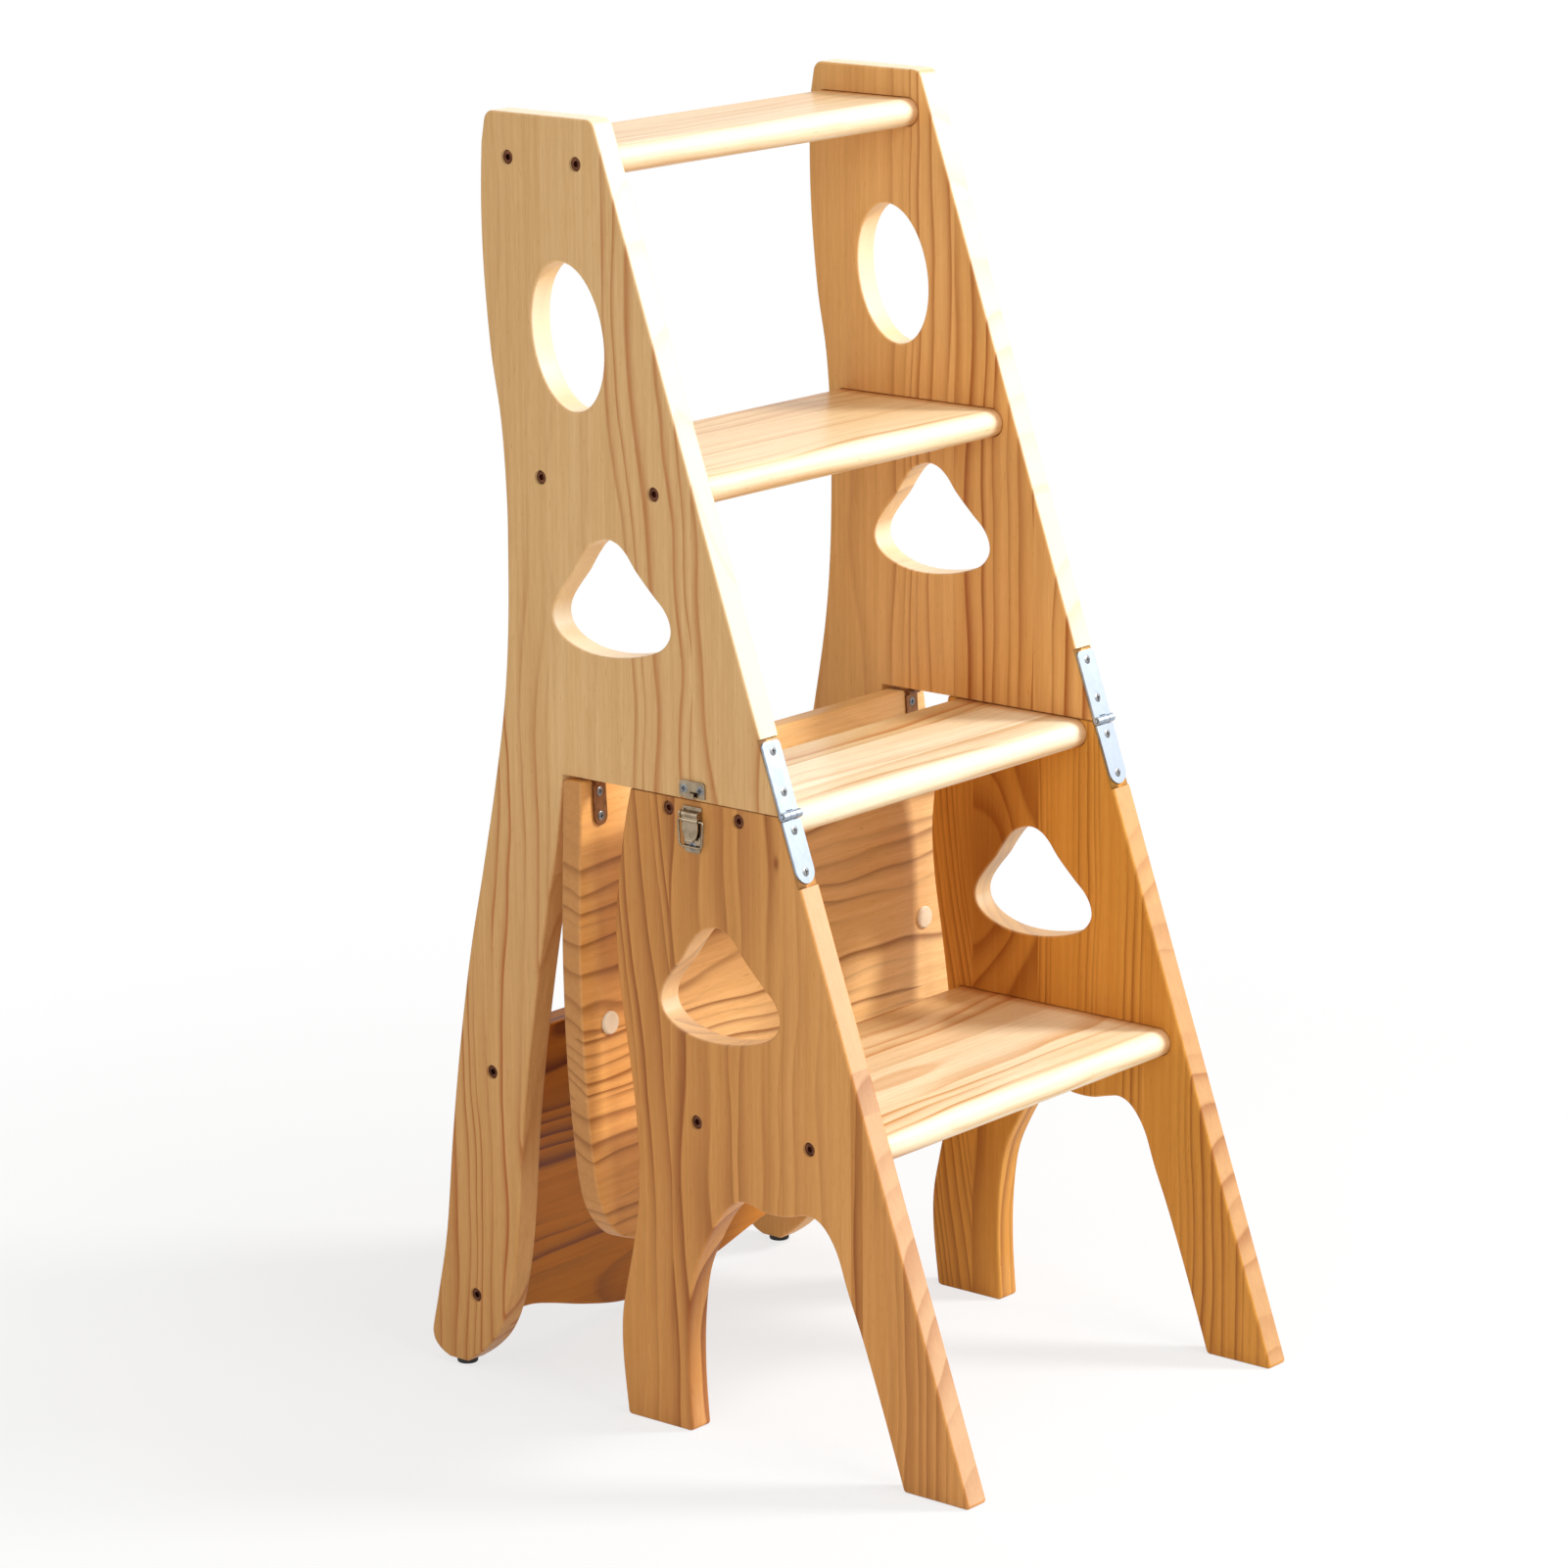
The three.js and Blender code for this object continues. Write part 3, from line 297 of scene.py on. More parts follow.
# %% [markdown]
# ## Cutting into a board
# Housings for the treads, counterbores for the screws and rebates for the hinges are cut after the outline.
# Each cutter is a simple solid, and a boolean takes it away from the board. We apply the boolean at once and
# throw the cutter away, so that the finished piece stands on its own mesh.

# %% Cutters and booleans
def block(bm, low, high, place=Matrix()):
    low, high = Vector(low), Vector(high)
    scaled = Matrix.Translation((low + high) / 2) @ Matrix.Diagonal((*(high - low), 1))
    bmesh.ops.create_cube(bm, size=1, matrix=place @ scaled)


def pin(bm, a, b, radius, segments, radius2=None):
    a, b = Vector(a), Vector(b)
    turn = (b - a).to_track_quat("Z", "Y").to_matrix().to_4x4()
    bmesh.ops.create_cone(bm, cap_ends=True, segments=segments, radius1=radius,
                          radius2=radius if radius2 is None else radius2, depth=(b - a).length,
                          matrix=Matrix.Translation((a + b) / 2) @ turn)


def carve(piece, cutter_meshes, operation="DIFFERENCE"):
    cutters = [piece_from("cutter", bm) for bm in cutter_meshes]
    for cutter in cutters:
        cut = piece.modifiers.new("cut", "BOOLEAN")
        cut.operation, cut.solver, cut.object = operation, "MANIFOLD", cutter
    bpy.context.view_layer.update()
    evaluated = piece.evaluated_get(bpy.context.evaluated_depsgraph_get())
    mesh = bpy.data.meshes.new_from_object(evaluated)
    piece.modifiers.clear()
    old, piece.data = piece.data, mesh
    mesh.name = piece.name
    for cutter in cutters:
        bpy.data.meshes.remove(cutter.data)
    bpy.data.meshes.remove(old)
    return piece


print("cutters ready")

# %% [markdown]
# ## The four side panels
# Both frames come from one board outline, cut apart at the fold. The upper panel has a leaning oval and a
# drop-shaped hand hole and runs down into the rear leg; the lower one has a drop and an arch between its two
# feet. The outline runs a few millimetres past the fold before the saw cut, so that the cut's edges stay
# crisp there while all the others are rounded.

# %% Outlines of the side panels
slant = Vector((front_at(HEIGHT), HEIGHT))
top_rear = Vector((-DEPTH / 2 + 0.85 * DEPTH, HEIGHT))
UPPER_RING = [
    Vector((front_at(FOLD - PAST), FOLD - PAST)),
    *soft_corner(Vector((front_at(FOLD), FOLD)), slant, top_rear, 8 * MM),
    *soft_corner(slant, top_rear, REAR_LINE[0], 8 * MM),
    *REAR_LINE, *TOE_LINE[:-1], Vector((LEG_FRONT, FOLD - PAST))]
UPPER_RING = [p for p in UPPER_RING[:-1] if not (p.x < LEG_FRONT + 1e-5 and FOLD - PAST < p.y < FOLD)]
foot = Vector((-DEPTH / 2, 0))
LOWER_RING = [
    Vector((LOW_REAR_LINE[0].x - 3 * MM, FOLD + PAST)), *LOW_REAR_LINE[:-1],
    *soft_corner(LOW_REAR_LINE[-2], LOW_REAR_LINE[-1], ARCH_LINE[0], 3 * MM),
    *soft_corner(LOW_REAR_LINE[-1], ARCH_LINE[0], ARCH_LINE[1], 3 * MM), *ARCH_LINE[1:-1],
    *soft_corner(ARCH_LINE[-2], ARCH_LINE[-1], foot, 3 * MM),
    *soft_corner(ARCH_LINE[-1], foot, Vector((front_at(FOLD), FOLD)), 2.6 * MM),
    Vector((front_at(FOLD + PAST), FOLD + PAST))]


DROP_WIDE, DROP_TALL = 104 * MM, 80.3 * MM


def drop_ring(rear_line, low, high, share):
    bottom = low + share * (high - low)
    middle = bottom + DROP_TALL / 2
    centre = front_at(middle) + 0.523 * (edge_at(rear_line, middle) - front_at(middle))
    return template(DROP, steps=5, closed=True, width=DROP_WIDE, height=DROP_TALL, at=(centre, bottom))


OVAL_LEAN, OVAL_WIDE, OVAL_TALL = 0.19, 31 * MM, 50.5 * MM


def oval_ring():
    low, high = TREADS[2][3], TREADS[3][3] - TREAD
    middle = low + 0.453 * (high - low)
    centre = front_at(middle) + 0.514 * (edge_at(REAR_LINE, middle) - front_at(middle))
    lean = Matrix.Rotation(-OVAL_LEAN, 2)
    return [Vector((centre, middle)) + lean @ Vector((OVAL_WIDE * p.x, OVAL_TALL * p.y))
            for p in arc((0, 0), 1, 0, math.tau, 72)[:-1]]


UPPER_HOLES = [drop_ring(REAR_LINE, LOW_TOP, TREADS[2][3] - TREAD, 0.454), oval_ring()]
LOWER_HOLES = [drop_ring(LOW_REAR_LINE, TREADS[0][3], TREADS[1][3] - TREAD, 0.251)]
print("upper ring:", len(UPPER_RING), "lower ring:", len(LOWER_RING))

# %% [markdown]
# ## Where the screws go
# Two screws hold each end of a tread, and two each end of the back panel. Their heads sit in counterbores on
# the outer faces. The places are shares along each tread, so that they follow the treads.

# %% Screw places
TREAD_SCREWS = []
for (ring, front, rear, top), shares, rise in zip(
        TREADS, ((0.24, 0.76), (0.25, 0.775), (0.168, 0.845), (0.16, 0.84)), (0, 0.1, 0, 0)):
    TREAD_SCREWS.append([Vector((front.x + s * (rear - front.x), front.y + rise * TREAD)) for s in shares])


def leg_point(up, share):
    z = up * HEIGHT
    front, rear = edge_at(TOE_LINE, z), edge_at(REAR_LINE, z)
    return Vector((front + share * (rear - front), z))


BACK_SCREWS = [leg_point(0.25, 0.5), leg_point(0.0625, 0.46)]
HEAD, HEAD_LENGTH, SHANK, CORE, SCREW_LENGTH, SINK = (v * MM for v in (4.7, 4, 3.4, 2.5, 48, 1.2))
CLEAR = 0.4 * MM


def along_x(p, side, *reaches):
    return [(side * reach, p.x, p.y) for reach in reaches]


print("screws:", 2 * (sum(len(s) for s in TREAD_SCREWS) + len(BACK_SCREWS)))

# %% [markdown]
# ## Where the strap hinges go
# The hinge plates lie in shallow rebates on the sloping front edges, and their axis stands just proud of the
# slope, so that the frames lie flat on each other when folded. It is easiest to think in the slope's own
# directions: X along the axis, Y into the wood and Z up the slope. One matrix turns those into the room's.

# %% The slope's own directions
lean_length = math.hypot(SLOPE, 1)
out_of_slope = Vector((0, -1, SLOPE)) / lean_length
up_slope = Vector((0, SLOPE, 1)) / lean_length
STRAP = dict(width=18.5, thick=2, lift=0.5, barrel=3, bore=1.7, reach=16)
STRAP_UP, STRAP_DOWN = 51, 47
STRAP_SCREWS_UP, STRAP_SCREWS_DOWN = (16, 44), (10.5, 39)
AXIS_LIFT = STRAP["lift"] * MM
FOLD_AXIS = Vector((0, front_at(FOLD), FOLD)) + out_of_slope * AXIS_LIFT


def on_slope(x):
    turn = Matrix((Vector((1, 0, 0)), -out_of_slope, up_slope)).transposed().to_4x4()
    return Matrix.Translation((x, FOLD_AXIS.y, FOLD_AXIS.z)) @ turn


print("fold axis:", [round(v, 5) for v in FOLD_AXIS])

# %% [markdown]
# ## Where the other fittings go
# The flap's hinges hang under the upper frame, just in front of the rear legs, the latches sit a little
# behind the middle of the fold, and the glides under the legs' lowest points. The same places serve for the
# pilot holes in the boards and for the fittings themselves, so they are worked out once.

# %% Places of the flap hinges, latches and glides
FLAP_PLAY, FLAP_THICK, LEAF_LIFT, LEAF_THICK, LEAF_WIDTH = 3.2, 17, 1.2, 1.5, 13
FLAP_ROOM = (FLAP_PLAY + FLAP_THICK + LEAF_LIFT + LEAF_THICK + 0.3) * MM
SEAT_AXIS = Vector((0, LEG_FRONT - FLAP_ROOM, UNDERSIDE - 3 * MM))
SEAT_HINGE_X = INNER + (0.7 + LEAF_WIDTH / 2) * MM
LATCH_Y = front_at(FOLD) + 0.575 * (LOW_REAR_LINE[0].x - front_at(FOLD))
GLIDE_Y = (REAR_LINE[-1].x + TOE_LINE[0].x) / 2
PIVOT, BASE_SCREWS, KEEPER_SCREW, KEEPER_LOW, KEEPER_MID = FOLD - 9 * MM, (9.5, 22.2), 7.05, 2, 5.75
LATCH_PILOT, FRAME_SCREW, FRAME_PILOT, GLIDE_NAIL = (v * MM for v in (10.5, 11, 9.5, 18.4))
SLOT_PLAY, STRAP_PILOT, PILOT = (v * MM for v in (2.5, 16.5, 1.9))
print("flap axis:", [round(v, 5) for v in SEAT_AXIS])

# %% [markdown]
# ## Working the side panels
# A panel is sawn from its outline, cut off at the fold, housed for the treads, and bored and rebated for the
# fittings. We gather all the cutters of one kind in one mesh, because one boolean with many bores is quicker
# than many booleans with one.

# %% Saw, house and bore the side panels
def panel(name, side, ring, holes, lit_or_end_ways, tread_numbers, screws, small_screws, straps, saw):
    place = Matrix(((0, 0, 1, min(side * HALF, side * INNER)), (1, 0, 0, 0), (0, 1, 0, 0), (0, 0, 0, 1)))
    wood = board(name, [ring, *holes], BOARD, 2 * MM, place, *lit_or_end_ways)
    x = side * MIDDLE
    kerf = bmesh.new()
    block(kerf, (x - BOARD, -DEPTH / 2, saw[0]), (x + BOARD, saw[2], saw[1]))
    cutters = [kerf]
    for number in tread_numbers:
        housing = bmesh.new()
        section = tread_ring(number, 2 * GAP)[0]
        corners = [housing.verts.new((side * (INNER - PAST), p.x, p.y)) for p in section]
        push_out(housing, [housing.faces.new(corners)], (side * (HOUSING + PAST), 0, 0))
        cutters.append(housing)
    heads, shanks, slots, groove = bmesh.new(), bmesh.new(), bmesh.new(), bmesh.new()
    for p in screws:
        pin(heads, *along_x(p, side, HALF - SINK - HEAD_LENGTH - CLEAR, HALF + PAST), HEAD + CLEAR, 32)
        pin(shanks, *along_x(p, side, INNER - PAST, HALF - SINK), SHANK + CLEAR, 16)
    for a, b in small_screws:
        pin(shanks, a, b, PILOT, 12)
    block(slots, (-BOARD, AXIS_LIFT - PAST, -STRAP_DOWN * MM - SLOT_PLAY),
          (BOARD, AXIS_LIFT + STRAP["thick"] * MM + GAP, STRAP_UP * MM + SLOT_PLAY), on_slope(x))
    pin(groove, (x - BOARD, FOLD_AXIS.y, FOLD_AXIS.z), (x + BOARD, FOLD_AXIS.y, FOLD_AXIS.z),
        STRAP["barrel"] * MM + CLEAR, 24)
    for up in straps:
        pin(shanks, on_slope(x) @ Vector((0, AXIS_LIFT - PAST, up)),
            on_slope(x) @ Vector((0, AXIS_LIFT + STRAP_PILOT, up)), PILOT, 12)
    return carve(wood, [*cutters, heads, shanks, slots, groove])


LATCH_BORE = (HALF + PAST, HALF - LATCH_PILOT)
# The ways towards the lamps: faces of the side panels that look this way get a painted highlight in the
# finish.
UPPER_LIT_WAYS, LOWER_LIT_WAYS = ((out_of_slope, Vector((0, 0, 1))), 0.6), ((out_of_slope,), 0.96)
wood_pieces = {}
for name, side in SIDES:
    base_screws = [Vector((LATCH_Y, PIVOT - up * MM)) for up in BASE_SCREWS]
    keeper_screws = [Vector((LATCH_Y + s * KEEPER_SCREW * MM, FOLD + (KEEPER_LOW + KEEPER_MID) * MM))
                     for s in (-1, 1)]
    wood_pieces[f"lower_side_{name}"] = panel(
        f"lower_{name}_board", side, LOWER_RING, LOWER_HOLES, LOWER_LIT_WAYS, (0, 1),
        TREAD_SCREWS[0] + TREAD_SCREWS[1],
        [along_x(p, side, *LATCH_BORE) for p in base_screws], [-up * MM for up in STRAP_SCREWS_DOWN],
        (LOW_TOP, FOLD + 3 * PAST, 0.1))
    under = [(side * SEAT_HINGE_X, SEAT_AXIS.y - FRAME_SCREW, z)
             for z in (UNDERSIDE - PAST, UNDERSIDE + FRAME_PILOT)]
    nail = [(side * MIDDLE, GLIDE_Y, z) for z in (0, GLIDE_NAIL)]
    wood_pieces[f"upper_side_{name}"] = panel(
        f"upper_{name}_board", side, UPPER_RING, UPPER_HOLES, UPPER_LIT_WAYS, (2, 3),
        TREAD_SCREWS[2] + TREAD_SCREWS[3] + BACK_SCREWS,
        [along_x(p, side, *LATCH_BORE) for p in keeper_screws] + [under, nail],
        [up * MM for up in STRAP_SCREWS_UP], (FOLD - 3 * PAST, UNDERSIDE, LEG_FRONT))
print({n: len(w.data.polygons) for n, w in wood_pieces.items()})

# %% [markdown]
# ## The treads
# Each tread is a plank with a full round nose at the front and a small round at the back. Its ends go into
# the housings. The outline is the plank's section, extruded along the plank, so the nose is a true half
# circle.

# %% Treads
ALONG_X = Matrix(((0, 0, 1, 0), (1, 0, 0, 0), (0, 1, 0, 0), (0, 0, 0, 1)))
END = INNER + HOUSING - GAP
# The way towards the lamps on a tread's nose, where the finish paints a highlight.
NOSE_LIT_WAY = (Vector((0, -0.8, 0.6)),), 0.6


def pilots(places):
    bores = bmesh.new()
    for side in (-1, 1):
        for p in places:
            pin(bores, *along_x(p, side, HALF - SINK - SCREW_LENGTH - CLEAR, HALF + PAST), CORE + CLEAR, 12)
    return bores


for i, (ring, front, rear, top) in enumerate(TREADS):
    plank = board(f"tread_{i + 1}", [ring], 2 * END, 0.4 * MM, Matrix.Translation((-END, 0, 0)) @ ALONG_X,
                  *NOSE_LIT_WAY, segments=2)
    wood_pieces[f"step_{i + 1}"] = carve(plank, [pilots(TREAD_SCREWS[i])])
print("treads:", [len(wood_pieces[f"step_{i}"].data.polygons) for i in (1, 2, 3, 4)])

# %% [markdown]
# ## The back panel and the seat flap
# Both are wide boards with a curved outline. We draw each one flat, in its own plane, and one matrix stands
# it up: the back panel leans with the rear legs, and the flap hangs from its hinges a little off plumb.

# %% Back panel
BACK_THICK, BACK_TALL, DROOP, BACK_END = 18 * MM, 215 * MM, 29 * MM, INNER - GAP
rise = (BACK_SCREWS[0] - BACK_SCREWS[1]).normalized()
back_top = BACK_SCREWS[0] + rise * 0.125 * BACK_TALL
crown = [Vector((p.x * BACK_END, -BACK_TALL - p.y * DROOP)) for p in template(
    [(1, 0), (0.82, 0.02), (0.67, 0.22), (0.46, 0.58), (0.22, 0.9), (0, 1)], width=1, height=1, at=(0, 0))]
back_ring = [Vector((BACK_END, 0)), *crown, *[Vector((-p.x, p.y)) for p in crown[-2::-1]],
             Vector((-BACK_END, 0))]
stand = Matrix(((1, 0, 0, 0), (0, rise.x, -rise.y, back_top.x), (0, rise.y, rise.x, back_top.y), (0, 0, 0, 1)))
stand = stand @ Matrix.Translation((0, 0, -BACK_THICK / 2))
wood_pieces["back_panel"] = carve(board("back_board", [back_ring], BACK_THICK, 1.6 * MM, stand),
                                  [pilots(BACK_SCREWS)])
print("back panel:", len(back_ring), "points")

# %% Seat flap
SEAT_THICK, SEAT_LONG, SEAT_HALF, SEAT_FACE = (v * MM for v in (FLAP_THICK, 332, 203, 3))
FLAP_SCREWS = (8.2, 25)
hang = Matrix.Translation(SEAT_AXIS) @ Matrix.Rotation(math.radians(-3.5), 4, "X")
edge = [Vector((p.y * SEAT_HALF, 0.9 * MM - p.x * SEAT_LONG)) for p in template(
    [(0, 0.931), (0.29, 0.98), (0.44, 0.995), (0.59, 1), (0.74, 0.992), (0.87, 0.97), (0.935, 0.925),
     (0.98, 0.85), (1, 0.75)], width=1, height=1, at=(0, 0))]
seat_ring = edge + [Vector((-p.x, p.y)) for p in reversed(edge)]
seat_ring = [Vector((max(-SEAT_HALF, min(SEAT_HALF, p.x)), p.y)) for p in seat_ring]
lay = hang @ Matrix(((1, 0, 0, 0), (0, 0, -1, SEAT_FACE + SEAT_THICK), (0, 1, 0, 0), (0, 0, 0, 1)))
seat_holes = bmesh.new()
for name, side in SIDES:
    for down in FLAP_SCREWS:
        a, b = (hang @ Vector((side * SEAT_HINGE_X, deep * MM, -down * MM)) for deep in (1, 12.6))
        pin(seat_holes, a, b, PILOT, 12)
ends = [Vector((side, 0, 0)) for name, side in SIDES]
wood_pieces["seat_flap"] = carve(board("seat_board", [seat_ring], SEAT_THICK, 2 * MM, lay, ends), [seat_holes])
print("seat flap:", len(seat_ring), "points")

# %% [markdown]
# ## Which body carries which board
# The lower frame stands still, and the upper frame and the flap swing. Each board rides on the body of the
# CAD node that it stands for, and takes that node's place.

# %% Ride and replace
def even_shading(piece):
    shading = piece.modifiers.new("even shading", "WEIGHTED_NORMAL")
    shading.weight, shading.keep_sharp = 100, True


def stands_for(piece, node):
    even_shading(piece)
    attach(piece, frame["nodes"][node]["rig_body"])
    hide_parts(node)


for node, piece in wood_pieces.items():
    slot = "pine_tread" if node.startswith("step") else "pine_side" if "side" in node else "pine_flap"
    stands_for(piece, node)
print("boards riding:", len(wood_pieces))

# %% [markdown]
# ## Turning on a lathe
# Screws, pads and glides are round. We draw half of the section as a line and spin it a full turn about the
# axis; the doubled points at the ends are merged, so that each solid is closed.

# %% A turned part
def turned(profile, place, steps):
    bm = bmesh.new()
    line = [bm.verts.new((r * MM, 0, z * MM)) for r, z in profile]
    edges = [bm.edges.new(pair) for pair in zip(line, line[1:])]
    bmesh.ops.spin(bm, geom=line + edges, cent=(0, 0, 0), axis=(0, 0, 1), dvec=(0, 0, 0), angle=math.tau,
                   steps=steps, use_merge=True, use_duplicate=False)
    bmesh.ops.remove_doubles(bm, verts=bm.verts[:], dist=1e-7)
    return set_down(bm, place)


def gather(name, parts):
    """Joins the parts, loose as they are, in one piece."""
    whole = bmesh.new()
    for part in parts:
        mesh = bpy.data.meshes.new("part")
        part.to_mesh(mesh)
        part.free()
        whole.from_mesh(mesh)
        bpy.data.meshes.remove(mesh)
    return piece_from(name, whole)


def copy_of(piece, place):
    bm = bmesh.new()
    bm.from_mesh(piece.data)
    bmesh.ops.transform(bm, matrix=place, verts=bm.verts[:])
    return bm


fittings = {}
print("lathe ready")

# %% [markdown]
# ## The connecting screws
# Connecting screws have a flat head with a hexagon socket, a thick collar and a long core. The head lies just
# under the panel's face. One screw is turned, its socket is cut, and then each place gets its own copy, moved
# in the mesh, because a finished piece stays at the origin.

# %% Connecting screws
SOCKET_RADIUS, SOCKET_DEPTH = 2.3 * MM, 2.4 * MM
pattern = piece_from("screw_pattern", turned([
    (0, 0), (3.9, 0), (4.35, -0.12), (4.62, -0.38), (4.7, -0.8), (4.7, -3.8), (4.5, -4), (3.4, -4),
    (3.4, -12.8), (2.5, -12.8), (2.5, -45.5), (0, -48)], Matrix(), 32))
socket = bmesh.new()
pin(socket, (0, 0, -SOCKET_DEPTH), (0, 0, MM), SOCKET_RADIUS, 6)
carve(pattern, [socket])


def place_screws(group, places):
    for name, side in SIDES:
        for number, p in enumerate(places, 1):
            outwards = Matrix.Rotation(side * math.pi / 2, 4, "Y")
            bolt = copy_of(pattern, Matrix.Translation((side * (HALF - SINK), p.x, p.y)) @ outwards)
            fittings[f"{group}_screw_{name}_{number}"] = piece_from(f"bolt_{group}_{name}_{number}", bolt)


for i, places in enumerate(TREAD_SCREWS, 1):
    place_screws(f"step_{i}", places)
place_screws("back_panel", BACK_SCREWS)
bpy.data.meshes.remove(pattern.data)
print("connecting screws:", len(fittings))

# %% [markdown]
# ## Hinge leaves
# A leaf is a flat plate with countersunk holes, and its end is rolled into knuckles round the pin. We saw the
# plate from an outline, make each knuckle as an extruded section with the pin's bore in it, join them with a
# boolean, and countersink the holes. The leaf's own directions are X along the pin, Y into the wood and Z
# along the plate.

# %% Sheet metal, rods and small screws
FLAT = Matrix(((1, 0, 0, 0), (0, 0, 1, 0), (0, 1, 0, 0), (0, 0, 0, 1)))
SCREW_FACE = Matrix.Rotation(math.pi / 2, 4, "X")
SHEET, SINK_RADIUS, CROSS_LONG, CROSS_WIDE = 1, 3.4, 1.9, 0.42


def sheet(place, *rings, near=0.0, thick=SHEET, ease=0.2):
    """A plate in millimetres, whose Z goes through it from near to near + thick."""
    return slab([[Vector(p) * MM for p in ring] for ring in rings], thick * MM, ease * MM,
                place @ Matrix.Translation((0, 0, near * MM)), 2)


def rod(place, half, radius, up=0.0, out=0.0, segments=20):
    """A round bar in millimetres, along X from minus half to half."""
    bm = bmesh.new()
    a, b = (place @ Vector((x * MM, up * MM, out * MM)) for x in (-half, half))
    pin(bm, a, b, radius * MM, segments)
    return bm


def axle(name, place, half, radius, out=0.0):
    bm = rod(place, half, radius, out=out)
    bmesh.ops.bevel(bm, geom=rims_of(bm), offset=0.3 * MM, segments=2, profile=0.5, affect="EDGES",
                    material=-1)
    return piece_from(name, bm)


def small_screw(place, reach):
    screw = piece_from("small_screw", turned([
        (0, 0.3), (1.3, 0.28), (2.3, 0.2), (2.95, 0.04), (3.15, -0.1), (3.15, -0.3), (1.6, -1.35),
        (1.6, 3 - reach), (0, -reach)], Matrix(), 24))
    crossed = []
    for x, y in ((CROSS_LONG, CROSS_WIDE), (CROSS_WIDE, CROSS_LONG)):
        crossed.append(bmesh.new())
        block(crossed[-1], Vector((-x, -y, -1)) * MM, Vector((x, y, 1)) * MM)
    bm = copy_of(carve(screw, crossed), place)
    # The left latch lies on a mirrored place, which would leave its screws inside out.
    bmesh.ops.recalc_face_normals(bm, faces=bm.faces[:])
    bpy.data.meshes.remove(screw.data)
    return bm


def screw_down(plate, spots, deep, narrow, reach):
    """Countersinks the plate at the spots, whose Z points out of it, and gives the plate and its screws."""
    sinks = bmesh.new()
    for spot in spots:
        top, bottom = (spot @ Vector((0, 0, z * MM)) for z in (0.02, -deep))
        pin(sinks, top, bottom, SINK_RADIUS * MM, 24, narrow * MM)
    heads = gather(f"{plate.name}_screws", [small_screw(spot, reach) for spot in spots])
    return carve(plate, [sinks]), heads


print("sheet metal ready")

# %% One hinge leaf with its screws
def hinge_leaf(name, place, direction, length, middle, screws, end_radius,
               width, thick, lift, barrel, bore, reach):
    """direction: 1 for a leaf up the plate's axis, -1 for one down; middle: whether it has the middle knuckle.
    Sizes in millimetres."""
    if direction < 0:
        place = place @ Matrix.Rotation(math.pi, 4, "Y")
    half, slot, inner = width / 2, barrel + 0.4, width / 6
    outline = rounded([(half, slot), (half, length), (-half, length), (-half, slot)],
                      (0, end_radius, end_radius * 0.999, 0))
    leaf = piece_from(name, sheet(place @ FLAT, outline, near=lift, thick=thick, ease=0.25))
    outside = lift + thick
    start = math.atan2(math.sqrt(barrel ** 2 - outside ** 2), outside) if outside < barrel else 0.02
    stop = math.atan2(math.sqrt(barrel ** 2 - lift ** 2), lift) - math.tau
    section = [*arc((0, 0), barrel, start, stop - start, 28), (lift, slot + thick), (outside, slot + thick)]
    hole = arc((0, 0), bore, 0, math.tau, 20)[:-1]
    spans = [(0.2 - inner, inner - 0.2)] if middle else [(-half, -inner - 0.2), (inner + 0.2, half)]
    carve(leaf, [sheet(place @ ALONG_X, section, hole, near=low, thick=high - low, ease=0.15)
                 for low, high in spans], "UNION")
    spots = [place @ Matrix.Translation((0, lift * MM, up * MM)) @ SCREW_FACE for up in screws]
    return screw_down(leaf, spots, thick + 0.4, 1.75, reach)


print("hinge leaf ready")

# %% [markdown]
# ## The strap hinges and the flap's hinges
# Each hinge has two leaves and a pin. The middle knuckle belongs to one leaf and the outer two to the other,
# so that the leaves can turn past each other. The strap hinges carry the upper frame, and the two small ones
# the flap.

# %% Hinges
FLAP_HINGE = dict(width=LEAF_WIDTH, thick=LEAF_THICK, lift=LEAF_LIFT, barrel=2.55, bore=1.4, reach=11)
FLAP_LEAF, FRAME_LEAF, STRAP_PIN, FLAP_PIN = 31.5, 18, (10, 1.4), (6.5, 1.1)
heads_on = {}


def hang_leaf(node, name, sizes, *shape):
    fittings[node], heads_on[node] = hinge_leaf(name, *shape, **sizes)


for name, side in SIDES:
    place = on_slope(side * MIDDLE)
    hang_leaf(f"strap_leaf_upper_{name}", f"strap_upper_{name}", STRAP, place, 1, STRAP_UP, False,
              STRAP_SCREWS_UP, 3.7)
    hang_leaf(f"strap_leaf_lower_{name}", f"strap_lower_{name}", STRAP, place, -1, STRAP_DOWN, True,
              STRAP_SCREWS_DOWN, 9.2)
    fittings[f"strap_pin_{name}"] = axle(f"strap_axle_{name}", place, *STRAP_PIN)
    hung = hang @ Matrix.Translation((side * SEAT_HINGE_X, 0, 0))
    under = Matrix.Translation((side * SEAT_HINGE_X, SEAT_AXIS.y, SEAT_AXIS.z))
    hang_leaf(f"seat_leaf_{name}", f"flap_leaf_{name}", FLAP_HINGE, hung, -1, FLAP_LEAF, True,
              FLAP_SCREWS, 6.4)
    hang_leaf(f"seat_frame_leaf_{name}", f"flap_frame_leaf_{name}", FLAP_HINGE, under @ SCREW_FACE, -1,
              FRAME_LEAF, False, (FRAME_SCREW / MM,), 2.6)
    fittings[f"seat_pin_{name}"] = axle(f"flap_axle_{name}", under, *FLAP_PIN)
print("hinge parts:", len(fittings), "screw groups:", len(heads_on))

# %% [markdown]
# ## The toggle latches
# A toggle latch pulls the frames together: a lever turns on a pin between two ears of the base, and a wire
# bail hangs on the lever and hooks over the keeper. Stamped sheet has a constant thickness, so each part is
# sawn from an outline in the same way as the boards, only thinner. First comes the base: we draw it in
# millimetres on the panel's face, with X and Y along the face and Z out of it.

